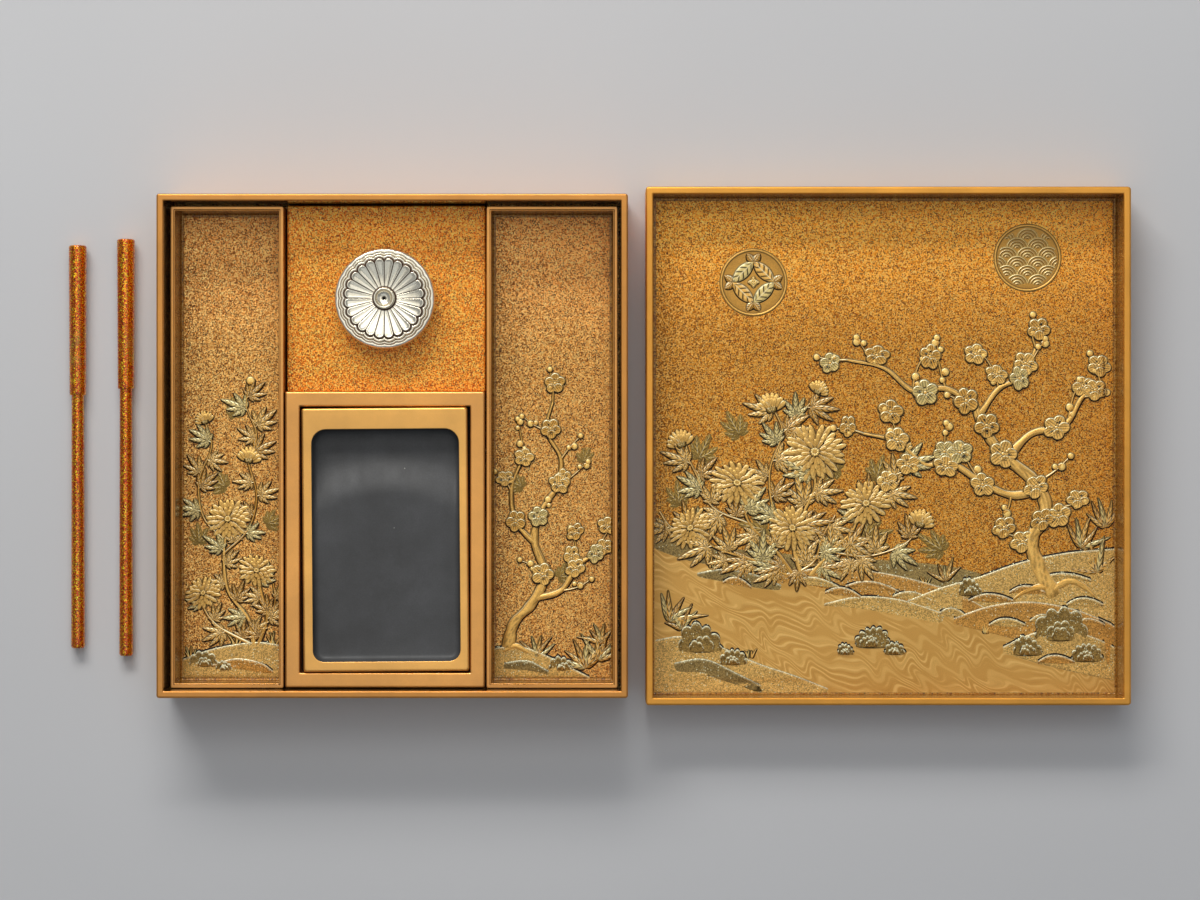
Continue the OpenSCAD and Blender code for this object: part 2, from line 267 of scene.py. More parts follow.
def nashiji(name, stops, scale=2100, metal=0.35, sparkle=0.5, coat=0.12, drift=0.10, mist=None, base_rough=0.36, tone=None, dens=11.0, dark=lin(30, 20, 18), dots=0.50, dim=1.0, gloss=0.07, spec=0.15):
    """Flakes of gold under clear lacquer: each cell of a Voronoi field is one flake with its own shade, tilt and gloss, and
    the dark lacquer shows as small pits where no flake fell."""
    k = Mat(name, Coat_Weight=coat, Coat_Roughness=gloss, Coat_IOR=1.5, IOR=1.5, Specular_IOR_Level=spec)
    p = k.obj()
    v1 = k.voronoi(p, scale)
    v2 = k.voronoi(k.vmath("ADD", p, (0.0137, 0.0071, 0.0033)), scale * 0.66)
    s1 = k.n("ShaderNodeSeparateColor", {"Color": v1.outputs["Color"]})
    s2 = k.n("ShaderNodeSeparateColor", {"Color": v2.outputs["Color"]})
    low = k.noise(p, dens, 4.0, 0.6)
    f = k.math("ADD", k.math("MULTIPLY", s1.outputs[0], 1.0), k.math("MULTIPLY", k.math("SUBTRACT", low, 0.5), drift * 2))
    col = k.ramp(f, stops)
    pit = k.math("ADD", s2.outputs[1], k.math("MULTIPLY", k.math("SUBTRACT", low, 0.5), -drift * 3))
    hole = k.maprange(v2.outputs["Distance"], 0.37, 0.43, 1.0, 0.0)
    few = k.maprange(pit, dots, dots - 0.12, 0.0, 1.0)
    pit = k.math("MULTIPLY", hole, few)
    col = k.mix(k.math("MULTIPLY", pit, 0.92), col, dark)
    if mist is not None:
        mcol, mask = mist(k, p, f)
        col = k.mix(mask, col, mcol)
    if tone is not None:
        col = tone(k, p, col)
    # dim mixes the colour toward black: painted shade, used on the inner walls.
    if dim < 1:
        col = k.mix(1 - dim, col, (0.004, 0.003, 0.002, 1))
    nrm = k.n("ShaderNodeNewGeometry").outputs["Normal"]
    tilt = k.vmath("SCALE", k.vmath("SUBTRACT", v1.outputs["Color"], (0.5, 0.5, 0.5)), scale=sparkle)
    nrm = k.vmath("NORMALIZE", k.vmath("ADD", nrm, tilt))
    rough = k.maprange(s1.outputs[2], 0.0, 1.0, base_rough - 0.10, base_rough + 0.14)
    met = k.maprange(pit, 0.0, 0.6, metal, 0.0)
    return k.set(Base_Color=col, Roughness=rough, Metallic=met, Normal=nrm)


def satin_gold(name, base, rough=0.36, metal=0.85, mott=0.10, fine=0.06, coat=0.0):
    """Plain gold-powder lacquer: a soft metallic skin with faint clouds, rubbed spots and a very fine powder grain."""
    k = Mat(name, Coat_Weight=coat, Coat_Roughness=0.09, Specular_IOR_Level=0.25)
    p = k.obj()
    clouds = k.noise(p, 26, 4.0, 0.6)
    streak = k.noise(k.vmath("MULTIPLY", p, (1.0, 1.0, 4.0)), 160, 3.0, 0.6)
    grain = k.noise(p, 5200, 1.0, 0.5)
    dark = tuple(c * (1 - 2.2 * mott) for c in base[:3]) + (1,)
    light = tuple(min(1, c * (1 + 1.1 * mott)) for c in base[:3]) + (1,)
    col = k.mix(k.maprange(clouds, 0.30, 0.70, 0.0, 1.0), dark, light)
    col = k.mix(k.maprange(streak, 0.35, 0.75, 0.0, 0.35), col, tuple(c * 0.92 for c in base[:3]) + (1,))
    g = k.maprange(grain, 0.3, 0.7, 1 - fine, 1 + fine)
    col = k.mix(1.0, col, k.n("ShaderNodeCombineColor", {"Red": g, "Green": g, "Blue": g}).outputs[0], "MULTIPLY")
    r = k.math("ADD", k.maprange(clouds, 0.2, 0.8, rough - 0.05, rough + 0.05), k.math("MULTIPLY", k.math("SUBTRACT", streak, 0.5), 0.10))
    nrm = k.bump(grain, 0.10, 0.00006, k.bump(streak, 0.05, 0.0004))
    return k.set(Base_Color=col, Roughness=r, Metallic=metal, Normal=nrm)


# ---------------------------------------------------------------- materials
def flakes(gain, *rows):
    return [(pos, disp(*rgb, gain)) for pos, rgb in rows]


GROUND = flakes(0.94, (0.0, (144, 82, 33)), (0.2, (194, 129, 60)), (0.45, (222, 157, 80)), (0.7, (242, 183, 101)), (1.0, (255, 208, 129)))
LID_GROUND = flakes(1.01, (0.0, (142, 74, 14)), (0.2, (190, 117, 33)), (0.45, (216, 145, 53)), (0.7, (238, 171, 76)), (1.0, (255, 200, 109)))
ORANGE_GROUND = flakes(0.83, (0.0, (160, 74, 14)), (0.2, (210, 111, 31)), (0.45, (238, 144, 50)), (0.7, (252, 168, 70)), (1.0, (255, 197, 102)))
BRUSH_GROUND = flakes(0.50, (0.0, (116, 28, 0)), (0.35, (158, 63, 2)), (0.6, (192, 93, 5)), (0.82, (228, 132, 12)), (1.0, (255, 190, 48)))


def painted_light_to_back(y0, y1, gain, warm=0.88):
    """Painted light toward the back edge: the flakes are brightened, green and blue less than red, where the back
    wall's shadow falls.
    """
    def fn(k, p, col):
        y = k.n("ShaderNodeSeparateXYZ", {"Vector": p}).outputs[1]
        g = k.maprange(y, y0, y1, 1.0, gain, True)
        h = k.maprange(y, y0, y1, 1.0, gain * warm, True)
        return k.mix(1.0, col, k.n("ShaderNodeCombineColor", {"Red": g, "Green": h, "Blue": h}).outputs[0], "MULTIPLY")
    return fn


m_gold = satin_gold("satin_gold", disp(206, 143, 75, 0.89, 0.025), coat=0.5)
m_gold_frame = satin_gold("satin_gold_frame", disp(211, 152, 84, 0.76, 0.025), rough=0.33, coat=0.7)
m_gold_stone = satin_gold("satin_gold_stone", disp(219, 164, 88, 0.76, 0.02), rough=0.34, coat=0.7)
m_gold_tray = satin_gold("satin_gold_tray", disp(204, 144, 76, 0.74, 0.02), rough=0.30, mott=0.10, coat=0.8)
m_gold_lid = satin_gold("satin_gold_lid", disp(209, 149, 71, 0.77, 0.02), rough=0.40, coat=0.2)
# The floors and the panel get painted light toward their back walls, where the walls' shadow falls.
m_ground = nashiji("nashiji_gold", GROUND, dots=0.68, dark=lin(44, 20, 13), tone=painted_light_to_back(0.040, 0.112, 1.52, 0.84))
m_ground_lid = nashiji("nashiji_lid", LID_GROUND, dots=0.66, dark=lin(44, 18, 9), tone=painted_light_to_back(0.045, 0.118, 1.72, 0.96))
m_orange = nashiji("nashiji_orange", ORANGE_GROUND, coat=0.2, dark=lin(66, 22, 8), dots=0.56, tone=painted_light_to_back(0.086, 0.114, 1.42))
# Inner walls: the same flakes with painted shade mixed in toward black, most of the way on the box, about half on the
# lid and trays.
m_wall = nashiji("nashiji_wall", GROUND, coat=1.0, base_rough=0.25, dim=0.12, metal=0.2, sparkle=0.15, gloss=0.03, spec=0.3)
m_inner = nashiji("nashiji_inner_wall", LID_GROUND, coat=0.3, base_rough=0.25, dim=0.55, metal=0.3, sparkle=0.15, gloss=0.04, spec=0.2)

# ---------------------------------------------------------------- box body
prof = rounded([
    (1.6, 0.02, 0, 0), (0, 0.02, 0.6, 0), (0, BOX_H - 1.6, 0, 1), (0, BOX_H, 0.95, 1), (BOX_T, BOX_H, 0.7, 1),
    (BOX_T, BOX_H - 1.1, 0, 2), (BOX_T, BOX_F, 0.5, 0), (BOX_T + 1.5, BOX_F, 0, 0)])
v, f, ids = open_box(0, 0, BOX_W, BOX_D, 1.3, prof, 0.45, cap0=0, cap1=0)
make("box_body_lacquer", v, f, [m_ground, m_gold, m_wall], "box", ids, sharp=40,
     replaces=("box_bottom", "box_front", "box_back", "box_left", "box_right"))

# ---------------------------------------------------------------- lid, lying on its top
prof = rounded([
    (1.9, 0.30, 0, 0), (1.5, 0.02, 0, 1), (0, 0.02, 0.7, 1), (0, 3.4, 0, 0), (0, LID_H - 1.8, 0, 1), (0, LID_H, 0.95, 1), (LID_T, LID_H, 0.7, 1),
    (LID_T, LID_H - 1.2, 0, 2), (LID_T, LID_F, 0.9, 2), (LID_T + 1.8, LID_F, 0, 0)])
v, f, ids = open_box(LID_X, 0, LID_W, LID_D, 1.6, prof, 0.5, cap0=0, cap1=0)
make("lid_lacquer", v, f, [m_ground_lid, m_gold_lid, m_inner], "lid", ids, sharp=40,
     replaces=("lid_top", "lid_front", "lid_back", "lid_left", "lid_right"))

# ---------------------------------------------------------------- trays
for side, tx, tw in (("left", LT_X, LT_W), ("right", RT_X, RT_W)):
    z1 = TRAY_Z + TRAY_H
    zf = TRAY_Z + TRAY_F
    prof = rounded([(1.2, TRAY_Z, 0, 1), (0, TRAY_Z, 0.6, 1), (0, z1 - 0.35, 0.45, 1), (1.45, z1 - 0.28, 0, 1)])
    prof = prof[:-1] + [(1.3, z1 - 0.29, 1), (1.52, z1 - 0.33, 1), (1.6, z1 - 0.22, 1)]
    prof += [(1.98 - 0.38 * math.cos(a), z1 - 0.38 + 0.38 * math.sin(a), 1) for a in (0.6, 1.1, 1.57, 2.0, 2.5, 2.9)]
    prof += rounded([(TRAY_T, z1 - 0.45, 0, 2), (TRAY_T, z1 - 1.5, 0, 2), (TRAY_T, zf, 0.9, 2), (TRAY_T + 1.6, zf, 0, 0)])
    v, f, ids = open_box(tx, TRAY_Y, tw, TRAY_D, 1.0, prof, 0.5, cap0=1, cap1=0)
    make(side + "_tray_lacquer", v, f, [m_ground, m_gold_tray, m_inner], side + "_tray", ids, sharp=40,
         replaces=tuple(f"{side}_tray_{n}" for n in ("bottom", "front", "back", "inner_side", "outer_side")))


# ---------------------------------------------------------------- centre board
def rail_ring(t, z, r_out, r_in):
    """t is 0 at the outside of the frame and 1 at the well."""
    hx = U_W / 2 - t * R_SIDE
    hy = F_D / 2 - t * R_END
    return rrect(U_X, F_Y, hx, hy, r_out + (r_in - r_out) * t, z)


def frame_profile():
    w = R_SIDE
    path = rounded([
        (w * 0.5, TRAY_Z, 0, 0), (0, TRAY_Z, 0.4, 0), (0, F_TOP, 1.0, 0), (w, F_TOP, 0.8, 0), (w, TRAY_Z, 0.4, 0), (w * 0.5, TRAY_Z, 0, 0)])
    return path[:-1]


rings = [rail_ring(d / R_SIDE, z, 0.7, 0.6) for d, z, t in frame_profile()]
v, f, ids = loft(rings, [0] * len(rings), closed=True)
make("inkstone_frame", v, f, [m_gold_frame], "centre_board", ids, sharp=40,
     replaces=("frame_rail_front", "frame_rail_back", "frame_rail_left", "frame_rail_right"))

# panel with the round seat
hx, hy = U_W / 2, P_D / 2 - 0.05
outer = [(0.8, P_TOP - P_T), (0, P_TOP - P_T + 0.3), (0, P_TOP - 0.9), (0.04, P_TOP - 0.62), (0.16, P_TOP - 0.32), (0.34, P_TOP - 0.12), (0.6, P_TOP - 0.02), (0.9, P_TOP)]
rings = [rrect(U_X, P_Y, hx - d, hy - d, 0.8, z, 8) for d, z in outer]
top = rrect(U_X, P_Y, hx - 1.4, hy - 1.4, 0.8, P_TOP, 8)
rings.append(top)


def circle_like(ring, cx, cy, r, z):
    out = []
    for x, y, _ in ring:
        a = math.atan2(y - cy, x - cx)
        out.append((cx + r * math.cos(a), cy + r * math.sin(a), z))
    return out


def dense(ring, n_side=10):
    """More points on the straight sides, so that a circle matched to them is round."""
    out = []
    m = len(ring)
    for i in range(m):
        a, b = ring[i], ring[(i + 1) % m]
        out.append(a)
        if math.dist(a, b) > 5:
            out += [tuple(a[k] + (b[k] - a[k]) * j / n_side for k in range(3)) for j in range(1, n_side)]
    return out


rings = [dense(r, 16) for r in rings]
for r, z in ((21.6, P_TOP), (21.05, P_TOP), (20.75, P_TOP - 0.08), (20.55, P_TOP - 0.3), (20.5, P_TOP - 0.6), (20.5, P_TOP - 1.3), (20.3, P_TOP - 1.47), (19.9, P_TOP - 1.5)):
    rings.append(circle_like(rings[len(outer)], U_X, D_Y, r, z))
v, f, ids = loft(rings, [0] * len(rings), cap0=0, cap1=0)
make("panel_lacquer", v, f, [m_orange], "centre_board", ids, sharp=35, replaces=("panel",))

# dark stained wood of the parts that carry the panel and the well
k = Mat("stained_wood", Roughness=0.55, Specular_IOR_Level=0.3)
p = k.obj()
grain = k.noise(k.vmath("MULTIPLY", p, (1.0, 0.06, 1.0)), 900, 4.0, 0.6)
rings_ = k.noise(k.vmath("MULTIPLY", p, (1.0, 0.1, 1.0)), 110, 2.0, 0.5)
col = k.ramp(k.math("ADD", k.math("MULTIPLY", grain, 0.6), k.math("MULTIPLY", rings_, 0.4)), [(0.3, lin(34, 20, 13)), (0.5, lin(58, 36, 24)), (0.72, lin(84, 56, 38))])
m_wood = k.set(Base_Color=col, Roughness=k.maprange(grain, 0.3, 0.7, 0.48, 0.66), Normal=k.bump(grain, 0.25, 0.0001))
for node_name in ("panel_battens", "well_floor", "well_battens"):
    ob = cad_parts[node_name]
    ob.data.materials.clear()
    ob.data.materials.append(m_wood)


# ---------------------------------------------------------------- inkstone
def fill(outline, inner=()):
    """Triangles inside a closed outline, through the inner points. Gives (points, triangles)."""
    pts = [Vector((q[0], q[1])) for q in outline]
    edges = [(i, (i + 1) % len(pts)) for i in range(len(pts))]
    pts += [Vector((q[0], q[1])) for q in inner]
    out = delaunay_2d_cdt(pts, edges, [], 1, 1e-5)
    return np.array([tuple(c) for c in out[0]]), [tuple(t) for t in out[2]]


def densify(ring, ref, step, long=5.0):
    """Extra points on the straight runs; their number comes from the reference ring."""
    out = []
    m = len(ring)
    for i in range(m):
        a, b = ring[i], ring[(i + 1) % m]
        out.append(a)
        run = math.dist(ref[i][:2], ref[(i + 1) % m][:2])
        n = int(round(run / step)) if run > long else 1
        out += [tuple(a[c] + (b[c] - a[c]) * j / n for c in range(3)) for j in range(1, n)]
    return out


def pocket_ring(d, z, n=8):
    hx, hy = PK_W / 2 - d, PK_D / 2 - d
    out = []
    for q, (sx, sy, r0) in enumerate(((1, 1, 7.0), (-1, 1, 7.0), (-1, -1, 5.5), (1, -1, 5.5))):
        r = r0 - d
        for i in range(n + 1):
            a = PI / 2 * (q + i / n)
            out.append((PK_X + sx * (hx - r) + r * math.cos(a), PK_Y + sy * (hy - r) + r * math.sin(a), z))
    return out


def stone_floor(x, y):
    """Height of the hollow's floor: land with a shallow wear hollow, bowed S-shaped slope, pool."""
    px, py = x - PK_X, y - PK_Y
    bow = (px / 33.0) ** 2
    s0 = PK_D / 2 - 31.5 - 9.0 * bow
    s1 = PK_D / 2 - 12.0 - 5.0 * bow
    t = min(1.0, max(0.0, (py - s0) / (s1 - s0)))
    z = LAND - (LAND - POOL) * (1 - math.cos(PI * t)) / 2
    z -= 0.30 * max(0.0, 1 - (px / 31) ** 2) * max(0.0, 1 - ((py + 14) / 40) ** 2)
    rise = max(0.0, (-py - (PK_D / 2 - 9.0)) / 9.0)
    return z + 0.55 * rise * rise


ref = pocket_ring(0, 0)
rings, tags = [], []
for d, z, r, tag in ((1.0, S_Z0, 1.0, 0), (0.3, S_Z0, 1.2, 0), (0.06, S_Z0 + 0.1, 1.2, 0), (0.0, S_Z0 + 0.35, 1.2, 0), (0.0, S_Z1 - 1.3, 1.2, 0)):
    rings.append(rrect(0, 0, S_W / 2 - d, S_D / 2 - d, r, z))
    tags.append(tag)
for i in range(7):
    a = PI / 2 * i / 6
    d = 1.0 * (1 - math.cos(a))
    rings.append(rrect(0, 0, S_W / 2 - d, S_D / 2 - d, 1.2, S_Z1 - 1.0 + 1.0 * math.sin(a)))
    tags.append(0)
rings.append(rrect(0, 0, S_W / 2 - 1.25, S_D / 2 - 1.25, 1.2, S_Z1))
tags.append(0)
for d, z in ((-0.35, S_Z1), (-0.12, S_Z1 - 0.02), (0.0, S_Z1 - 0.08)):
    rings.append(pocket_ring(d, z))
    tags.append(0)
tags[-1] = 1
for d, z in ((0.06, S_Z1 - 0.16), (0.16, S_Z1 - 0.42)):
    rings.append(pocket_ring(d, z))
    tags.append(1)
rings = [densify(r, ref, 2.4) for r in rings]
cove = 2.8
for i in range(0, 9):
    a = PI / 2 * i / 8
    ring = densify(pocket_ring(0.26 + cove * (1 - math.cos(a)), 0), ref, 2.4)
    ring = [(x, y, min(stone_floor(x, y) + (cove if y > -50 else cove + 0.6) * (1 - math.sin(a)), S_Z1 - 0.5)) for x, y, _ in ring]
    rings.append(ring)
    tags.append(1)
v, f, ids = loft(rings, tags, cap0=0)
last = rings[-1]
base = len(v) - len(last)
grid = [(x + 0.02 * math.sin(7 * y), y) for x in np.arange(PK_X - PK_W / 2 + 4.2, PK_X + PK_W / 2 - 4.0, 1.75) for y in np.arange(PK_Y - PK_D / 2 + 4.2, PK_Y + PK_D / 2 - 4.0, 1.6)]
co, tri = fill(last, grid)
keep = {}
for j, (x, y) in enumerate(co):
    if j < len(last):
        keep[j] = base + j
    else:
        keep[j] = len(v)
        v.append((x, y, stone_floor(x, y)))
f += [tuple(keep[i] for i in t) for t in tri]
ids += [1] * len(tri)
ct, st = math.cos(S_TURN), math.sin(S_TURN)
v = [(S_X + ct * x - st * y, S_Y + st * x + ct * y, z) for x, y, z in v]
k = Mat("slate", Roughness=0.5, Specular_IOR_Level=0.45)
p = k.obj()
cloud = k.noise(p, 38, 5.0, 0.62)
fine = k.noise(p, 1500, 2.0, 0.5)
rub = k.noise(k.vmath("MULTIPLY", p, (1.0, 0.35, 1.0)), 130, 4.0, 0.65)
col = k.ramp(k.math("ADD", k.math("MULTIPLY", cloud, 0.7), k.math("MULTIPLY", fine, 0.3)), [(0.30, lin(57, 56, 55)), (0.5, lin(67, 67, 67)), (0.7, lin(78, 78, 79))])
speck = k.voronoi(p, 210)
ss = k.n("ShaderNodeSeparateColor", {"Color": speck.outputs["Color"]})
dot = k.math("MULTIPLY", k.maprange(speck.outputs["Distance"], 0.05, 0.09, 1.0, 0.0), k.maprange(ss.outputs[0], 0.955, 0.96, 0.0, 1.0))
col = k.mix(k.math("MULTIPLY", dot, 0.8), col, lin(170, 168, 160))
scr = k.noise(k.vmath("MULTIPLY", p, (0.08, 1.0, 1.0)), 1900, 2.0, 0.6)
m_slate = k.set(Base_Color=col, Roughness=k.maprange(rub, 0.3, 0.72, 0.47, 0.60), Normal=k.bump(scr, 0.06, 0.0001, k.bump(cloud, 0.12, 0.0015)))
make("inkstone_carved", v, f, [m_gold_stone, m_slate], "inkstone", ids, sharp=50, replaces=("inkstone",))


# ---------------------------------------------------------------- water dropper
def lathe(cx, cy, profile, n=96, tag=0, cap0=None, cap1=None, closed=False, shape=None):
    rings = []
    for r, z in profile:
        rings.append([(cx + r * math.cos(2 * PI * j / n), cy + r * math.sin(2 * PI * j / n), z) for j in range(n)])
    return loft(rings, [tag] * len(rings), cap0, cap1, closed)


PETALS = 24
HALF = PI / PETALS
R_C = 17.0
R_A = R_C * math.tan(HALF)
STEP = (-1, -0.965, -0.92, -0.85, -0.74, -0.6, -0.42, -0.21, 0, 0.21, 0.42, 0.6, 0.74, 0.85, 0.92, 0.965)
angles = [(q * 2 * HALF + HALF + t * HALF, t * HALF) for q in range(PETALS) for t in STEP]


def dish(r):
    pts = ((0, -2.55), (6, -2.5), (9, -2.15), (12, -1.62), (15, -0.95), (17, -0.45), (18.6, -0.08), (30, 0.0))
    for (r0, z0), (r1, z1) in zip(pts, pts[1:]):
        if r <= r1:
            return z0 + (z1 - z0) * (r - r0) / (r1 - r0)
    return 0.0


def petal(r, psi):
    """Height below the crown's top and groove depth 0..1 inside a petal's outline."""
    w = min(r * math.sin(HALF), R_A)
    if r * math.cos(psi) < R_C:
        e = min(r * math.sin(HALF - abs(psi)), w)
    else:
        e = R_A - math.hypot(r * math.cos(psi) - R_C, r * math.sin(psi))
    e = max(0.0, e)
    bead = min(0.40, 0.34 * w)
    g = 0.30 * bead / 0.40
    if e < bead:
        z = -g * (1 - math.sin(PI / 2 * e / bead))
    else:
        q = min(1.0, (e - bead) / max(w - bead, 1e-6))
        z = -0.11 * w * (1 - (1 - q) ** 2)
    return dish(r) + z - 0.02, math.exp(-(e / (0.62 * bead)) ** 2) * 1.0


outer = [  # distance outside the outline, height below the top, groove
    (0.0, None, 1.0), (0.12, -0.55, 0.9), (0.24, -1.0, 0.8), (0.34, -1.22, 1.0), (0.48, -1.28, 0.9), (0.66, -1.12, 0.1), (0.95, -0.98, 0), (1.3, -0.93, 0), (1.5, -1.0, 0),
    (1.64, -1.25, 0), (1.74, -1.8, 0.3), (1.84, -2.2, 0.9), (1.98, -2.3, 0.9), (2.14, -2.14, 0.1), (2.4, -2.02, 0), (2.65, -2.02, 0), (2.82, -2.15, 0), (2.94, -2.6, 0.1), (3.04, -3.1, 0.6), (3.16, -3.3, 0.9)]
rings, groove = [], []
n_ang = len(angles)


def add_ring(fn):
    ring, gr = [], []
    for phi, psi in angles:
        r, z, g = fn(phi, psi)
        ring.append((U_X + r * math.cos(phi), D_Y + r * math.sin(phi), z))
        gr.append(g)
    rings.append(ring)
    groove.extend(gr)


def outline_r(psi, d):
    return R_C * math.cos(psi) + math.sqrt(max(0.0, (R_A + d) ** 2 - (R_C * math.sin(psi)) ** 2))


# inside of the vessel, up to the hole
for r, z in ((0.6, D_FOOT + 0.9), (17.2, D_FOOT + 0.9), (20.6, D_FOOT + 3.3), (23.2, D_SEAM), (23.2, D_TOP - 6.4), (21.6, D_TOP - 4.3), (18.6, D_TOP - 2.7), (12, D_TOP - 3.3), (6, D_TOP - 4.0), (1.0, D_TOP - 4.0)):
    add_ring(lambda phi, psi, r=r, z=z: (r, z, 0.6))
for r, z in ((1.0, D_TOP - 2.9), (3.0, D_TOP - 2.9)):
    add_ring(lambda phi, psi, r=r, z=z: (r, z, 0.8))
T_IN = (0.0, 0.05, 0.1, 0.18, 0.27, 0.36, 0.45, 0.54, 0.62, 0.69, 0.75, 0.80, 0.845, 0.88, 0.91, 0.935, 0.955, 0.97, 0.985, 0.995)
for t in T_IN:
    def inside(phi, psi, t=t):
        r = 5.0 + (outline_r(psi, 0) - 5.0) * t
        z, g = petal(r, psi)
        if r < 6.6:
            g = max(g, min(1.0, (6.6 - r) / 1.0))
        return r, D_TOP + z, g
    add_ring(inside)
for d, z, g in outer:
    def step(phi, psi, d=d, z=z, g=g):
        r = outline_r(psi, d)
        zz = petal(r, psi)[0] if z is None else z
        return r, D_TOP + zz, g
    add_ring(step)
r_last = lambda psi: outline_r(psi, 3.16)
for u, z, g in ((0.12, -3.22, 0.5), (0.3, -3.15, 0.0), (0.55, -3.22, 0), (0.75, -3.5, 0), (0.9, -4.0, 0), (0.98, -4.6, 0), (1.0, -5.4, 0)):
    add_ring(lambda phi, psi, u=u, z=z, g=g: (r_last(psi) + (D_R - 0.02 - r_last(psi)) * u, D_TOP + z, g))
for r, z, g in ((24.08, D_SEAM + 0.5, 0), (24.08, D_SEAM + 0.18, 0.3), (23.93, D_SEAM, 1.0), (24.06, D_SEAM - 0.16, 0.3), (23.9, D_SEAM - 0.4, 0), (23.2, 20.6, 0), (21.3, 19.25, 0), (19.2, 18.5, 0.2),
                (18.75, 18.1, 0.8), (18.5, 17.5, 0.4), (18.35, 17.05, 0), (18.0, 16.72, 0), (17.5, 16.56, 0), (16.4, 16.56, 0), (16.1, 16.8, 0.6), (15.6, 16.95, 0.3), (0.6, 16.95, 0.1)):
    add_ring(lambda phi, psi, r=r, z=z, g=g: (r, z, g))
v, f, ids = loft(rings, [0] * len(rings), cap0=0, cap1=0)


def silver(name):
    k = Mat(name, Metallic=0.80, Roughness=0.24, Specular_IOR_Level=0.8)
    p = k.obj()
    gr = k.n("ShaderNodeAttribute", attribute_name="groove", attribute_type="GEOMETRY").outputs["Fac"]
    cloud = k.noise(p, 120, 4.0, 0.6)
    fine = k.noise(p, 2600, 2.0, 0.5)
    g = k.maprange(k.math("ADD", gr, k.math("MULTIPLY", k.math("SUBTRACT", cloud, 0.5), 0.45)), 0.42, 0.86, 0.0, 0.96)
    col = k.mix(k.maprange(cloud, 0.35, 0.7, 0.0, 1.0), lin(254, 247, 226), lin(249, 238, 212))
    col = k.mix(g, col, lin(78, 42, 16))
    rough = k.math("ADD", k.maprange(cloud, 0.3, 0.7, 0.13, 0.21), k.math("MULTIPLY", g, 0.25))
    return k.set(Base_Color=col, Roughness=rough, Normal=k.bump(fine, 0.05, 0.0001, k.bump(cloud, 0.12, 0.0004)))


m_silver = silver("silver_tarnished")
make("dropper_vessel", v, f, [m_silver], "water_dropper", ids, sharp=60, replaces=("dropper_bowl", "dropper_crown"), attrs={"groove": groove})
t = D_TOP
prof = [(0.76, t - 2.45), (5.5, t - 2.45), (5.55, t - 2.2), (5.2, t - 1.85), (4.85, t - 1.2), (4.6, t - 0.5), (4.52, t + 0.1), (4.55, t + 0.8), (4.62, t + 1.35), (4.8, t + 1.75), (4.86, t + 1.95),
        (4.8, t + 2.12), (4.62, t + 2.2), (4.4, t + 2.21), (4.2, t + 2.12), (4.05, t + 1.92), (3.9, t + 1.55), (3.66, t + 1.1), (3.3, t + 0.68), (2.8, t + 0.32), (2.2, t + 0.06), (1.5, t - 0.10), (0.98, t - 0.18), (0.80, t - 0.32), (0.76, t - 0.6)]
v, f, ids = lathe(U_X, D_Y, prof, 96, closed=True)
g = [x for r, z in prof for x in [0.95 if (z < t - 1.7 or r < 0.9) else (0.55 if 3.6 < r < 3.95 and z < t + 1.7 else (0.42 if r < 1.2 else 0.36 if r < 3.6 else 0.0))] * 96]
make("dropper_collar_ring", v, f, [m_silver], "water_dropper", ids, sharp=60, replaces=("dropper_collar",), attrs={"groove": g})

# ---------------------------------------------------------------- brushes


def cap_mist(k, p, f):
    """Soft olive-gold clouds in a band round the caps."""
    sep = k.n("ShaderNodeSeparateXYZ", {"Vector": p})
    band = k.math("MULTIPLY", k.maprange(sep.outputs[1], 0.036, 0.044, 0.0, 1.0, True), k.maprange(sep.outputs[1], 0.054, 0.063, 1.0, 0.0, True))
    n1 = k.noise(k.vmath("MULTIPLY", p, (1.0, 0.45, 1.0)), 150, 3.0, 0.55)
    mask = k.math("MULTIPLY", band, k.maprange(n1, 0.48, 0.64, 0.0, 0.42, True))
    fleck = k.noise(p, 2600, 1.0, 0.5)
    return k.ramp(fleck, [(0.35, disp(112, 92, 40, 0.62)), (0.55, disp(150, 126, 62, 0.62)), (0.7, disp(196, 170, 98, 0.62))]), mask


m_brush = nashiji("brush_nashiji", BRUSH_GROUND, scale=2600, metal=0.86, sparkle=0.30, coat=0.7, gloss=0.04, dark=lin(48, 6, 1), dots=0.60, drift=0.14, mist=cap_mist, base_rough=0.25, dens=40, spec=0.1)
k = Mat("brush_hair", Roughness=0.5)
p = k.obj()
st_ = k.noise(k.vmath("MULTIPLY", p, (1.0, 0.03, 1.0)), 4200, 3.0, 0.6)
m_hair = k.set(Base_Color=k.ramp(st_, [(0.35, lin(38, 28, 22)), (0.5, lin(66, 50, 38)), (0.68, lin(104, 82, 62))]), Normal=k.bump(st_, 0.4, 0.0002), Roughness=k.maprange(st_, 0.3, 0.7, 0.42, 0.6))


def axis_lathe(x, y, length, profile, n=48, cap0=None, cap1=None, closed=False, wob=None):
    al = math.asin(0.95 / length)
    ca, sa = math.cos(al), math.sin(al)
    rings = []
    for s_, r in profile:
        ring = []
        for j in range(n):
            th = 2 * PI * j / n
            rr = r * (1 + (wob(j, s_) if wob else 0))
            u, w = rr * math.cos(th), rr * math.sin(th)
            ring.append((x + u, y + s_ * ca - w * sa, 3.42 + s_ * sa + w * ca))
        rings.append(ring[::-1])
    return loft(rings, [0] * len(rings), cap0, cap1, closed)


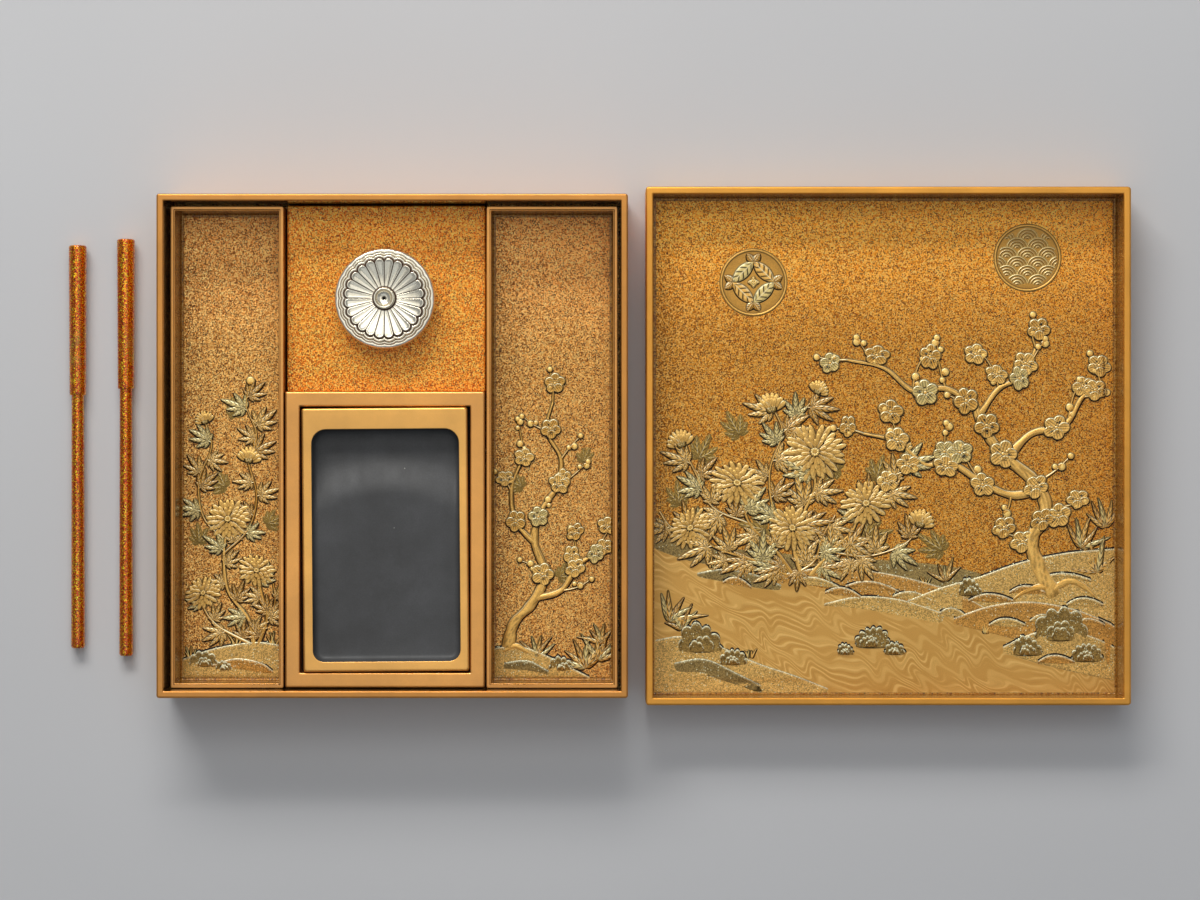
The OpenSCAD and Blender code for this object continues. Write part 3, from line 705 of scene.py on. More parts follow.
for nm, bx, by, length in (("a", -156.2, -98.8, 196.8), ("b", -132.65, -102.6, 203.7)):
    mouth = length - 73.2
    prof = [(0.02, 1.5), (0.0, 2.55), (0.05, 2.78), (0.2, 2.95), (0.45, 3.1), (0.72, 3.28), (0.95, 3.36), (1.3, 3.39)]
    prof += [(s_, 3.395 - 0.345 * (s_ / mouth)) for s_ in np.linspace(4, mouth - 0.02, 30)]
    prof += [(mouth + 7, 3.05), (mouth + 13.6, 3.05), (mouth + 14.0, 2.9), (mouth + 14.0, 2.25), (mouth + 5.5, 2.2)]
    v, f, ids = axis_lathe(bx, by, length, prof, cap0=0, cap1=0)
    make(f"brush_{nm}_stem", v, f, [m_brush], f"brush_{nm}", ids, sharp=50, replaces=(f"brush_{nm}_handle",))
    e = length
    prof = [(e - 6.1, 1.5), (e - 6.1, 3.02), (e - 6.4, 3.1), (mouth + 0.5, 3.1), (mouth + 0.12, 3.16), (mouth, 3.3), (mouth, 3.72), (mouth + 0.08, 3.88), (mouth + 0.3, 3.97), (mouth + 0.6, 4.0)]
    prof += [(s_, 4.0 + 0.345 * ((s_ - mouth) / 72.2)) for s_ in np.linspace(mouth + 2, e - 1.2, 24)]
    prof += [(e - 0.8, 4.31), (e - 0.5, 4.2), (e - 0.25, 4.02), (e - 0.08, 3.75), (e, 3.4), (e, 2.6), (e, 1.2)]
    v, f, ids = axis_lathe(bx, by, length, prof, cap0=0, cap1=0)
    make(f"brush_{nm}_cap_lacquer", v, f, [m_brush], f"brush_{nm}_cap", ids, sharp=50, replaces=(f"brush_{nm}_cap", f"brush_{nm}_cap_plug"))
    rnd = random.Random(11 if nm == "a" else 12)
    ridge = [rnd.uniform(-0.05, 0.03) for _ in range(48)]
    z0 = mouth + 14.0
    prof = [(z0 - 8.4, 1.2), (z0 - 8.3, 2.1), (z0, 2.12), (z0 + 1.5, 2.3), (z0 + 4, 2.46), (z0 + 8, 2.55), (z0 + 12, 2.52), (z0 + 17, 2.34), (z0 + 21, 2.05), (z0 + 25, 1.62), (z0 + 28, 1.2), (z0 + 30.5, 0.82), (z0 + 32.4, 0.48), (z0 + 33.9, 0.14)]
    v, f, ids = axis_lathe(bx, by, length, prof, cap0=0, cap1=0, wob=lambda j, s_: ridge[j] * min(1.0, max(0.0, (s_ - z0) / 3)))
    make(f"brush_{nm}_hair_tuft", v, f, [m_hair], f"brush_{nm}", ids, sharp=None, replaces=(f"brush_{nm}_hair",))

# ---------------------------------------------------------------- raised pictures

def curve(points, n=8):
    """Smooth line through the points, n samples per span. Extra columns (such as widths) ride along."""
    q = np.asarray(points, float)
    q = np.vstack([2 * q[0] - q[1], q, 2 * q[-1] - q[-2]])
    out = []
    for i in range(1, len(q) - 2):
        for j in range(n):
            t = j / n
            out.append(0.5 * ((2 * q[i]) + (-q[i - 1] + q[i + 1]) * t + (2 * q[i - 1] - 5 * q[i] + 4 * q[i + 1] - q[i + 2]) * t * t + (-q[i - 1] + 3 * q[i] - 3 * q[i + 1] + q[i + 2]) * t ** 3))
    out.append(q[-2])
    return np.array(out)


GAIN = 0.80
GOLD = np.array(disp(208, 162, 86, GAIN)[:3])
GOLD_DEEP = np.array(disp(186, 138, 66, GAIN)[:3])
GOLD_PALE = np.array(disp(226, 184, 106, GAIN)[:3])
LEAF_PALE = np.array(disp(196, 174, 112, GAIN)[:3])
LEAF_DULL = np.array(disp(158, 128, 66, GAIN)[:3])
# Pale silver: the tint of leaf midribs, and the colour of the painted highlight on crests.
SILVER_AND_HIGHLIGHT = np.array(disp(250, 236, 196, GAIN)[:3])
DARK = np.array((0.012, 0.007, 0.004))
ROCK = np.array(disp(156, 126, 70, GAIN)[:3])


def blend_to(c, d, f):
    f = np.clip(f, 0, 1)[..., None]
    return c * (1 - f) + d * f


class Relief:
    """A picture in raised lacquer on one floor: grids of points with heights in mm and colours."""

    def __init__(self, z0, x0, x1, y0, y1, shy=0.0):
        self.z0, self.box, self.shy = z0, (x0, x1, y0, y1), shy
        self.P, self.F, self.C, self.I, self.K, self.count = [], [], [], [], [], 0
        self.frame_ = (0.0, 0.0, 0.0, 1.0, 1.0)

    def at(self, x=0.0, y=0.0, turn=0.0, sx=1.0, sy=1.0):
        self.frame_ = (x, y, math.radians(turn), sx, sy)

    def up(self, nx, ny):
        """How far a direction in the current frame points to the back, -1..1."""
        tn = self.frame_[2]
        return nx * math.sin(tn) + ny * math.cos(tn)

    def grid(self, X, Y, H, C, mat=0, wrap=False, K=None):
        ox, oy, tn, sx, sy = self.frame_
        X, Y = X * sx, Y * sy
        X, Y = ox + X * math.cos(tn) - Y * math.sin(tn), oy + X * math.sin(tn) + Y * math.cos(tn)
        x0, x1, y0, y1 = self.box
        X, Y = np.clip(X, x0, x1), np.clip(Y, y0, y1)
        if self.shy:
            near = np.minimum(np.minimum(X - x0, x1 - X), np.minimum(Y - y0, y1 - Y))
            lim = 0.065 + 1.1 * np.maximum(0, near - self.shy)
            H = lim * (1 - np.exp(-np.maximum(H, 0) / lim))
        m, n = X.shape
        self.K.append(np.zeros((m * n, 3)) if K is None else np.broadcast_to(K, (m, n, 3)).reshape(-1, 3))
        self.P.append(np.stack([X, Y, self.z0 + H], -1).reshape(-1, 3))
        self.C.append(np.broadcast_to(C, (m, n, 3)).reshape(-1, 3))
        idx = self.count + np.arange(m * n).reshape(m, n)
        if wrap:
            idx = np.concatenate([idx, idx[:, :1]], 1)
        A, B, D, E = idx[:-1, :-1], idx[:-1, 1:], idx[1:, 1:], idx[1:, :-1]
        q = np.stack([A, B, D, E], -1).reshape(-1, 4)
        xy = self.P[-1][:, :2]
        loc = q - self.count
        if self.shy:
            low = np.unique(loc[near.ravel()[loc].min(1) < self.shy + 0.7])
            self.P[-1][low, 2] = self.z0 + 0.06 * (1 - np.exp(-(self.P[-1][low, 2] - self.z0) / 0.06))
        d1, d2 = xy[loc[:, 2]] - xy[loc[:, 0]], xy[loc[:, 3]] - xy[loc[:, 1]]
        area2 = d1[:, 0] * d2[:, 1] - d1[:, 1] * d2[:, 0]
        if area2.sum() < 0:
            q = q[:, ::-1]
        q = q[np.abs(area2) > 1e-5]
        self.F.append(q)
        self.I.append(np.full(len(q), mat))
        self.count += m * n

    def make(self, name, mats, body, dx=0.0, dy=0.0, flip=0.0):
        v, f, c, i, q = np.vstack(self.P), np.vstack(self.F), np.vstack(self.C), np.concatenate(self.I), np.vstack(self.K)
        if flip:
            v[:, 2] = self.z0 - (v[:, 2] - self.z0) * flip
            f = f[:, ::-1]
        v[:, 0] += dx
        v[:, 1] += dy
        used = np.zeros(len(v), bool)
        used[f.ravel()] = True
        remap = np.cumsum(used) - 1
        self.P, self.F, self.C, self.I, self.K, self.count = [], [], [], [], [], 0
        return make(name, v[used], remap[f], mats, body, i, sharp=None, attrs={"tint": np.clip(c[used], 0, 0.97), "leafmap": q[used]})


WIDE = ((-1, -0.55), (-1, 0), (-1, 0.12), (-1, 0.30), (-0.5, 0), (-0.16, 0), (0, 0), (0.16, 0), (0.5, 0), (1, -0.30), (1, -0.12), (1, 0), (1, 0.55))
SLIM = ((-1, -0.58), (-1, 0), (-1, 0.15), (-0.4, 0), (0, 0), (0.4, 0), (1, -0.15), (1, 0), (1, 0.58))


def edge_tint(C, up, k_out, k_edge, k_crest, dark=1.0, wear_and_highlight=0.75):
    """Dark outline, partly dark lacquer in the recess and partly painted shade, darker still as painted shade where the
    edge faces the front; and a painted highlight on the crest where the edge faces the back.
    """
    # Painted shade: the outline is darker on edges that face the front.
    low = np.clip(0.45 - up, 0, 1)
    C = blend_to(C, DARK, np.clip(k_out * (0.62 + 0.38 * low) + k_edge * (0.80 + 0.20 * low), 0, 1) * dark)
    # Painted highlight: the crest turns pale silver on edges that face the back.
    return blend_to(C, SILVER_AND_HIGHLIGHT, k_crest * np.clip((up - 0.25) / 0.5, 0, 1) * wear_and_highlight)


def blade(R, x, y, ang, length, width, H=0.45, base=0.0, tint=GOLD, shape="leaf", bend=0.0, n=12, across=SLIM, kind=0.5, tip=None, fold=0.5, dark=1.0, mat=0, root=0.5, wear_and_highlight=0.75):
    """One leaf or petal from its foot (x, y) in direction ang (degrees). kind picks the engraving: 0.5 leaf, 1 petal, 0 none."""
    u = np.linspace(0, 1, n)
    u = np.where(u < 0.5, 0.5 * (2 * u) ** 1.15, 1 - 0.5 * (2 * (1 - u)) ** 1.35)
    if shape == "leaf":
        w = np.sin(PI * u ** 0.8) ** 0.85
    elif shape == "bamboo":
        w = np.sin(PI * u ** 0.5) ** 0.95
    elif shape == "petal":
        w = (u ** 0.6) * np.sqrt(np.maximum(0, 1 - u ** 4)) * 1.15
    elif shape == "lens":
        w = np.sqrt(np.maximum(0, 1.0 - (u - 0.5) ** 2 * 2)) - math.sqrt(0.5)
        w = w / w.max()
    w = np.maximum(w * width / 2, 0.03)
    th = math.radians(ang) + np.radians(bend) * (u - 0.3)
    du = np.diff(u, prepend=0) * length
    sx, sy = x + np.cumsum(np.cos(th) * du), y + np.cumsum(np.sin(th) * du)
    nx, ny = -np.sin(th), np.cos(th)
    fr = np.array([q[0] for q in across])
    ab = np.array([q[1] for q in across])
    off = w[:, None] * fr[None, :] + np.minimum(np.abs(ab[None, :]), np.where(np.sign(ab) * np.sign(fr) < 0, 0.45, 9.0)[None, :] * w[:, None]) * np.sign(ab)[None, :]
    X, Y = sx[:, None] + nx[:, None] * off, sy[:, None] + ny[:, None] * off
    vv = np.clip(np.abs(off) / w[:, None], 0, 1)
    k = len(across)
    wide = k > 9
    body = np.ones(k)
    body[[0, 1, -1, -2]] = 0.0
    body[[2, -3]] = 0.62 if wide else 0.78
    if wide:
        body[[3, -4]] = 0.92
    if shape == "petal":
        prof = (0.72 + 0.28 * vv ** 1.6) * (0.55 + 0.45 * u[:, None] ** 0.8)
    else:
        prof = 0.60 + fold * 0.40 * (1 - vv ** 2.4) - 0.14 * np.exp(-(vv / 0.12) ** 2)
    ends = np.minimum(1, np.minimum(u, 1 - u) / 0.04)[:, None]
    Hh = base + 0.012 + H * prof * body[None, :] * ends
    C = np.broadcast_to(tint, X.shape + (3,)).copy()
    if tip is not None:
        C = blend_to(C, tip, np.clip((u[:, None] - 0.62) / 0.38, 0, 1) * 0.8 * (vv < 0.97))
    C = blend_to(C, DARK, np.clip((0.26 - u[:, None]) / 0.26, 0, 1) * root * dark)
    side = np.sign(fr)[None, :]
    up = R.up(nx[:, None] * side, ny[:, None] * side)
    z = np.zeros(k)
    ko, ke, kc = z.copy(), z.copy(), z.copy()
    ko[[0, -1]] = 1
    ke[[1, -2]] = 1
    kc[[2, -3]] = 1
    if wide:
        kc[[3, -4]] = 0.45
    # Outline with painted shade, and a painted highlight on the crest, by which way each edge faces.
    C = edge_tint(C, up, ko[None, :], ke[None, :], kc[None, :] * (u[:, None] > 0.12), dark, wear_and_highlight)
    K = np.zeros(X.shape + (3,))
    K[..., 0] = u[:, None]
    K[..., 1] = vv
    K[..., 2] = kind
    R.grid(X, Y, Hh, C, mat, K=K)


def disc(R, x, y, r, H=0.5, base=0.0, tint=GOLD, n=12, cup=0.0, tip=None, dark=1.0, wav=0.0, k=0, sq=1.0, phase=0.0, wear_and_highlight=0.75, vein=None):
    """A round dome or cup. vein is the direction in which a round petal's engraved lines run."""
    rho = np.array([0.02, 0.35, 0.62, 0.80, 0.92, 1.0, 1.0 + 0.56 / r])
    if r < 1.2:
        rho = np.array([0.05, 0.6, 0.88, 1.0, 1.0 + 0.30 / r])
    m = len(rho)
    a = np.linspace(0, 2 * PI, n, endpoint=False)
    rr = r * (1 + wav * np.cos(k * a + phase))
    X = x + rho[:, None] * rr[None, :] * np.cos(a)
    Y = y + rho[:, None] * rr[None, :] * np.sin(a) * sq
    h = np.where(rho < 0.999, 1 - (rho ** 2.2) * 0.6, 0.0) * (1 - cup) + cup * np.where(rho < 0.999, 0.45 + 0.55 * rho ** 1.8, 0.0)
    Hh = base + 0.012 + H * np.broadcast_to(h[:, None], X.shape)
    C = np.broadcast_to(tint, X.shape + (3,)).copy()
    if tip is not None:
        C = blend_to(C, tip, np.broadcast_to(np.clip((rho - 0.55) / 0.4, 0, 1)[:, None], X.shape) * 0.6)
    ko, ke, kc = np.zeros((m, 1)), np.zeros((m, 1)), np.zeros((m, 1))
    ko[-1], ke[-2], kc[-3] = 1, 1, 1
    up = R.up(np.cos(a), np.sin(a))[None, :]
    K = np.zeros(X.shape + (3,))
    if vein is not None:
        K[..., 0] = 0.5 + 0.5 * rho[:, None] * np.cos(a - vein)
        K[..., 1] = np.abs(rho[:, None] * np.sin(a - vein)) * 0.9
        K[..., 2] = 1.0
    # Outline with painted shade, and a painted highlight on the crest, by which way each edge faces.
    R.grid(X, Y, Hh, edge_tint(C, up, ko, ke, kc, dark, wear_and_highlight), wrap=True, K=K)


def rod(R, pts, H=0.45, base=0.0, tint=GOLD, n=7, gnarl=0.0, seed=1, across=None, dark=1.0, streak=0.0, ends=True):
    """A stem or bough along points (x, y, half width)."""
    q = curve(pts, n)
    d = np.gradient(q[:, :2], axis=0)
    d /= np.linalg.norm(d, axis=1)[:, None] + 1e-9
    w = q[:, 2].copy()
    r = np.random.default_rng(seed)
    t = np.arange(len(w))
    if gnarl:
        ph = r.uniform(0, 6, 3)
        w = w * (1 + gnarl * (0.5 * np.sin(t * 0.9 + ph[0]) + 0.35 * np.sin(t * 0.37 + ph[1]) + 0.3 * r.uniform(-1, 1, len(w))))
    w = np.maximum(w, 0.12)
    thick = w.max() > 0.9
    across = across or (((-1, -0.60), (-1, 0), (-1, 0.16), (-0.72, 0), (-0.42, 0), (-0.12, 0), (0.18, 0), (0.48, 0), (0.75, 0), (1, -0.16), (1, 0), (1, 0.60)) if thick else ((-1, -0.38), (-1, 0), (-0.45, 0), (0.1, 0), (0.55, 0), (1, 0), (1, 0.38)))
    fr = np.array([c[0] for c in across])
    ab = np.array([c[1] for c in across])
    off = w[:, None] * fr + ab
    X, Y = q[:, 0:1] - d[:, 1:2] * off, q[:, 1:2] + d[:, 0:1] * off
    vv = np.clip(np.abs(off) / w[:, None], 0, 1)
    k = len(across)
    body = np.ones(k)
    body[[0, 1, -1, -2]] = 0.0
    prof = np.sqrt(np.maximum(0.15, 1 - vv ** 2))
    Hh = base + 0.012 + H * np.minimum(1.0, w / max(0.6, w.max()) + 0.35)[:, None] * prof * body
    C = np.broadcast_to(tint, X.shape + (3,)).copy()
    if thick:
        bark = np.sin(t[:, None] * 0.8 + 6 * np.sin(fr[None, :] * 2.4 + t[:, None] * 0.16 + seed))
        C = blend_to(C, DARK, np.clip(bark - 0.35, 0, 1) * (0.55 + streak))
        C = blend_to(C, GOLD_PALE, np.clip(-bark - 0.2, 0, 1) * 0.6)
        Hh = Hh - 0.14 * np.clip(bark, 0, 1) * body
    z = np.zeros(k)
    ko, ke, kc = z.copy(), z.copy(), z.copy()
    ko[[0, -1]] = 1
    ke[[1, -2]] = 1
    kc[[2, -3]] = 1
    side = np.sign(fr)[None, :]
    up = R.up(-d[:, 1:2] * side, d[:, 0:1] * side)
    # Outline with painted shade, and a painted highlight on the crest, by which way each edge faces.
    C = edge_tint(C, up, ko[None, :], ke[None, :], kc[None, :], dark)
    if ends:
        Hh[[0, -1]] = base + 0.012
    R.grid(X, Y, Hh, C)


def ridge(R, top, bottom, H=0.6, tint=ROCK, light=SILVER_AND_HIGHLIGHT, mat=0, n=6, shade=0.5, edge=0.38, base=0.0, fade=0.0, back=0.30, dark_line=True, rag=0.0, seed=3):
    """Land or rock between an upper and a lower line: a sharp crest that falls away downward, with a painted highlight
    along the crest and painted shade under it.
    """
    T, B = curve(top, n), curve(bottom, n)
    m = min(len(T), len(B))
    T, B = T[:m], B[:m]
    if rag:
        r = np.random.default_rng(seed)
        T = T + np.stack([0 * T[:, 0], rag * r.uniform(-1, 1, m)], 1)
    L = np.linalg.norm(B - T, axis=1)
    L = np.maximum(L, 0.4)
    D = (B - T) / L[:, None]
    dist = [-0.75, 0.0, 0.20, 0.50, 0.90, 1.40]
    rows = [T + D * x for x in dist]
    hs = [0.0, 0.0, 0.85, 1.0, 1.0, 0.96]
    # dk: dark outline along the upper line, painted shade under the crest, and a dark line along the lower one; lt:
    # painted highlight along the crest.
    dk = [1.0, 1.0, 0.15, 0.0, 0.0, 0.0]
    lt = [0, 0, 0.9, 0.72, 0.14, 0.0]
    rest = np.linspace(0.08, 1, 12)
    for t in rest:
        rows.append(T + D * np.minimum(L, 1.40 + (L - 1.40) * t)[:, None] if t < 1 else B.copy())
        hs.append(0.96 * (1 - t) ** 0.9 * (1 - fade) + 0.96 * fade + (0.0 if t < 1 else -0.96 * fade))
        dk.append(shade * (1 - t) ** 3 * 0.8 + (0.0 if t < 0.999 else back))
        lt.append(0)
    X = np.array([q[:, 0] for q in rows])
    Y = np.array([q[:, 1] for q in rows])
    tail = np.minimum(1, np.minimum(np.arange(m), np.arange(m)[::-1]) / 2.0)
    dk, lt = np.array(dk, float), np.array(lt, float)
    Hh = base + 0.014 + H * np.array(hs)[:, None] * tail[None, :]
    C = np.broadcast_to(tint, X.shape + (3,)).copy()
    # Painted highlight along the crest, then the dark outlines and the painted shade.
    C = blend_to(C, light, np.broadcast_to(np.array(lt)[:, None], X.shape) * edge * 2)
    if dark_line:
        C = blend_to(C, DARK, np.broadcast_to(np.array(dk)[:, None], X.shape))
    R.grid(X, Y, Hh, C, mat)


def rock(R, x, y, w, h, seed=1, H=0.8, base=0.0, lobes=5, tint=ROCK):
    """A lumpy rock with a scalloped crest and smaller lobes in front."""
    r = np.random.default_rng(seed)
    for layer in range(3):
        k = 1 - 0.27 * layer
        cx = x + w * 0.5 * (r.uniform(-0.22, 0.22) if layer else 0)
        hh, ww = h * k * (1 if layer == 0 else 0.72), w * k * (1 if layer == 0 else 0.72)
        n = 46
        a = np.linspace(PI, 0, n)
        lob = lobes - layer
        ph = r.uniform(0, PI)
        bump = np.abs(np.sin(lob * a + ph)) ** 0.6
        rad = 0.74 + 0.22 * bump + 0.10 * np.sin(2.3 * a + ph)
        T = np.stack([cx + ww / 2 * rad * np.cos(a), y + hh * rad * np.sin(a)], 1)
        B = np.stack([cx + ww / 2 * 0.92 * np.cos(a), y - 0.10 * h - 0.10 * hh * np.sin(a)], 1)
        # Each lobe gets the ridge's painted highlight on its crest and painted shade under it.
        ridge(R, T, B, H=H * (0.75 + 0.16 * layer), tint=tint * (1 + 0.06 * layer), n=1, shade=0.55, base=base + 0.18 * layer, edge=0.5, mat=1, back=1.0)


def kiku(R, x, y, r, turn=0, sq=1.0, tilt=0, seed=1, tint=GOLD, pale=GOLD_PALE, base=0.22, n0=19):
    """Chrysanthemum: four rounds of channelled petals and a knobbed heart. sq and tilt foreshorten it."""
    g = np.random.default_rng(seed)
    R.at(x, y, tilt, 1.0, sq)
    z = base
    for layer, (k, n, hh) in enumerate(((1.0, n0, 0.40), (0.79, n0 - 3, 0.40), (0.58, n0 - 6, 0.40), (0.38, n0 - 10, 0.36))):
        for i in range(n):
            a = turn + 360 * (i + 0.5 * (layer % 2)) / n + g.uniform(-3, 3)
            length = r * k * (0.92 + g.uniform(-0.08, 0.06))
            low = 1.0 + (0.10 * (-math.sin(math.radians(a)))) * (1 - sq) * 2
            # The crest's painted highlight is weaker on these petals.
            blade(R, 0.10 * r * math.cos(math.radians(a)), 0.10 * r * math.sin(math.radians(a)), a, length * low, 2 * PI * r * k * 0.66 / n * 1.12, H=hh, base=z + 0.03 * (i % 2), tint=tint * g.uniform(0.88, 1.05),
                  shape="petal", bend=g.uniform(-16, 16), n=10, across=SLIM, kind=1.0, tip=pale, root=0.9, wear_and_highlight=0.45)
        z += 0.18
    disc(R, 0, 0, r * 0.16, H=0.30, base=z, tint=tint * 0.7, n=12)
    for i in range(9):
        a = 2 * PI * i / 9 + 0.3
        disc(R, r * 0.10 * math.cos(a), r * 0.10 * math.sin(a), r * 0.042, H=0.16, base=z + 0.22, tint=pale, n=6, dark=0.8)
    R.at()


def kiku_side(R, x, y, r, ang=90, seed=1, tint=GOLD, pale=GOLD_PALE, base=0.22):
    """Half-open chrysanthemum seen from the side, with its green cup below."""
    g = np.random.default_rng(seed)
    R.at(x, y, ang - 90)
    for layer, (n, k, spread) in enumerate(((9, 1.0, 74), (7, 0.88, 52), (5, 0.72, 30))):
        for i in range(n):
            a = 90 + spread * (2 * i / (n - 1) - 1)
            blade(R, 0, 0, a + g.uniform(-2, 2), r * k * (1 - 0.0016 * abs(a - 90)), r * 0.34, H=0.34, base=base + 0.19 * layer, tint=tint * g.uniform(0.9, 1.05), shape="petal", bend=-0.35 * (a - 90), n=9, across=SLIM, kind=1.0, tip=pale, root=0.9)
    for a in (50, 90, 130):
        blade(R, 0, -0.5, a, r * 0.36, r * 0.28, H=0.4, base=base + 0.5, tint=LEAF_DULL, shape="leaf", n=8, across=SLIM)
    R.at()


def ume(R, x, y, r, turn=0, sq=1.0, tilt=0, seed=1, tint=None, base=0.5):
    """Plum blossom: five cupped round petals, stamens with knobs, and a small heart."""
    g = np.random.default_rng(seed)
    tint = (GOLD, GOLD * 1.06, GOLD_DEEP, LEAF_PALE * 0.92)[seed % 4] if tint is None else tint
    R.at(x, y, tilt, 1.0, sq)
    for i in range(5):
        a = math.radians(turn + 72 * i)
        # The crest's painted highlight is stronger on these petals.
        disc(R, 0.55 * r * math.cos(a), 0.55 * r * math.sin(a), 0.45 * r, H=0.40, base=base + 0.05 * (i % 2), tint=tint * g.uniform(0.88, 1.0), n=18, cup=1.0, tip=GOLD_PALE * 0.95, wear_and_highlight=0.95, vein=a)
    z = base + 0.24
    for i in range(11):
        a = turn + 360 * i / 11 + g.uniform(-6, 6)
        d = r * g.uniform(0.40, 0.60)
        ca, sa = math.cos(math.radians(a)), math.sin(math.radians(a))
        rod(R, [(0.1 * r * ca, 0.1 * r * sa, 0.12), (d * ca, d * sa, 0.10)], H=0.12, base=z, tint=DARK * 1.5, n=2, dark=0.6)
        disc(R, d * ca, d * sa, 0.26, H=0.16, base=z, tint=GOLD_PALE, n=6, dark=1.0)
    disc(R, 0, 0, 0.14 * r, H=0.26, base=z, tint=GOLD, n=9)
    R.at()


def bud(R, x, y, r, ang, tint=GOLD_PALE, base=0.4):
    R.at(x, y, ang)
    disc(R, r * 0.75, 0, r, H=0.45, base=base, tint=tint, n=12, tip=GOLD_PALE)
    for a in (-38, 0, 38):
        blade(R, -0.25 * r, 0, a, r * 1.05, r * 0.8, H=0.5, base=base + 0.05, tint=GOLD_DEEP, shape="leaf", n=7, across=SLIM, kind=0.0)
    R.at()


def kiku_leaf(R, x, y, ang, size, seed=1, tint=None, H=0.42, base=0.0, flat=False):
    """Seven-lobed leaf on a short stalk: gold, pale, or flat and dull."""
    g = np.random.default_rng(seed)
    t = tint if tint is not None else (GOLD, LEAF_PALE, GOLD_DEEP, GOLD)[seed % 4]
    ca, sa = math.cos(math.radians(ang)), math.sin(math.radians(ang))
    if flat:
        t, H = LEAF_DULL, 0.10
    else:
        rod(R, [(x, y, 0.26), (x + ca * size * 0.22, y + sa * size * 0.22, 0.22)], H=0.3, base=base + 0.05, tint=t, n=3)
    fx, fy = x + ca * size * 0.16, y + sa * size * 0.16
    lobes = ((98, 0.36, 0.15), (-98, 0.36, 0.15), (64, 0.60, 0.175), (-64, 0.60, 0.175), (32, 0.82, 0.19), (-32, 0.82, 0.19), (0, 1.0, 0.21))
    for i, (a, ln, wd) in enumerate(lobes):
        # No painted highlight on the crests of flat leaves, a slightly weaker one on raised leaves.
        blade(R, fx, fy, ang + a + g.uniform(-6, 6), size * ln * g.uniform(0.92, 1.06), size * wd, H=H * (0.8 if i < 6 else 1.0), base=base + 0.032 * i, tint=t * g.uniform(0.90, 1.03), shape="leaf", bend=-0.22 * a + g.uniform(-10, 10),
              n=10, across=SLIM, kind=0.5, dark=0.45 if flat else 1.0, root=0.35, wear_and_highlight=0.0 if flat else 0.6)


def leafy(R, pts, size, seed, every=7.5, tint=GOLD, start=0.12, base=0.06, thick=1.0, lo=38, hi=74):
    """A stem with lobed leaves on alternate sides."""
    g = np.random.default_rng(seed)
    rod(R, [(a, b, w * thick) for a, b, w in pts], H=0.5, base=base, tint=tint, n=7, gnarl=0.08, seed=seed)
    q = curve(pts, 12)
    ln = np.concatenate([[0], np.cumsum(np.linalg.norm(np.diff(q[:, :2], axis=0), axis=1))])
    at = ln[-1] * start
    i = seed % 2
    while at < ln[-1] - 2:
        j = int(np.searchsorted(ln, at))
        d = q[min(j + 1, len(q) - 1), :2] - q[max(j - 1, 0), :2]
        a = math.degrees(math.atan2(d[1], d[0]))
        kiku_leaf(R, q[j, 0], q[j, 1], a + (1 if i % 2 else -1) * g.uniform(lo, hi), size * g.uniform(0.78, 1.15), seed=seed * 13 + i, base=base + 0.03 + 0.09 * (i % 3))
        at += every * g.uniform(0.7, 1.25)
        i += 1


def sasa(R, x, y, ang, n, size, seed, tint=None):
    """Bamboo grass: a fan of slender blades."""
    g = np.random.default_rng(seed)
    n += 2
    for i in range(n):
        a = ang + (i - (n - 1) / 2) * 25 + g.uniform(-6, 6)
        t = (GOLD, LEAF_PALE, GOLD_DEEP)[(i + seed) % 3] if tint is None else tint
        blade(R, x, y, a, size * g.uniform(0.7, 1.15), size * 0.165, H=0.40, base=0.08 + 0.08 * (i % 2), tint=t, shape="bamboo", bend=g.uniform(-22, 22), n=13, kind=0.5, root=0.4)


def grass(R, x, y, n, size, seed, spread=50, lean_=0):
    g = np.random.default_rng(seed)
    for i in range(n):
        a = 90 + lean_ + (i - (n - 1) / 2) * spread / max(1, n - 1) + g.uniform(-5, 5)
        blade(R, x + g.uniform(-1.2, 1.2), y, a, size * g.uniform(0.6, 1.1), 0.9, H=0.3, base=0.08, tint=(GOLD, LEAF_PALE)[i % 2], shape="bamboo", bend=(a - 90) * 0.9, n=9, across=SLIM, kind=0.0, tip=GOLD_PALE)


def plum_twig(R, x, y, ang, length, seed, flowers=3, r=5.0, w=0.55, base=0.25):
    """A straight shoot with blossoms and buds set alternately."""
    g = np.random.default_rng(seed)
    ca, sa = math.cos(math.radians(ang)), math.sin(math.radians(ang))
    bend = g.uniform(-0.10, 0.10) * length
    pts = [(x + length * t * ca - bend * math.sin(PI * t) * sa, y + length * t * sa + bend * math.sin(PI * t) * ca, w * (1 - 0.6 * t)) for t in (0, 0.33, 0.66, 1)]
    rod(R, pts, H=0.42, base=base, tint=GOLD, n=5)
    for i in range(flowers):
        t = 0.30 + 0.62 * i / max(1, flowers - 1) if flowers > 1 else 0.6
        px, py = x + length * t * ca, y + length * t * sa
        s_ = 1 if (i + seed) % 2 else -1
        if g.random() < 0.62:
            ume(R, px - s_ * 0.35 * r * sa, py + s_ * 0.35 * r * ca, r * g.uniform(0.85, 1.05), turn=g.uniform(0, 72), sq=g.uniform(0.72, 1.0), tilt=g.uniform(0, 180), seed=int(seed * 5 + i))
        else:
            bud(R, px, py, r * 0.30, ang + s_ * 55)
        bud(R, x + length * (t - 0.14) * ca, y + length * (t - 0.14) * sa, r * 0.22, ang - s_ * 60)
    bud(R, pts[-1][0], pts[-1][1], r * 0.24, ang)


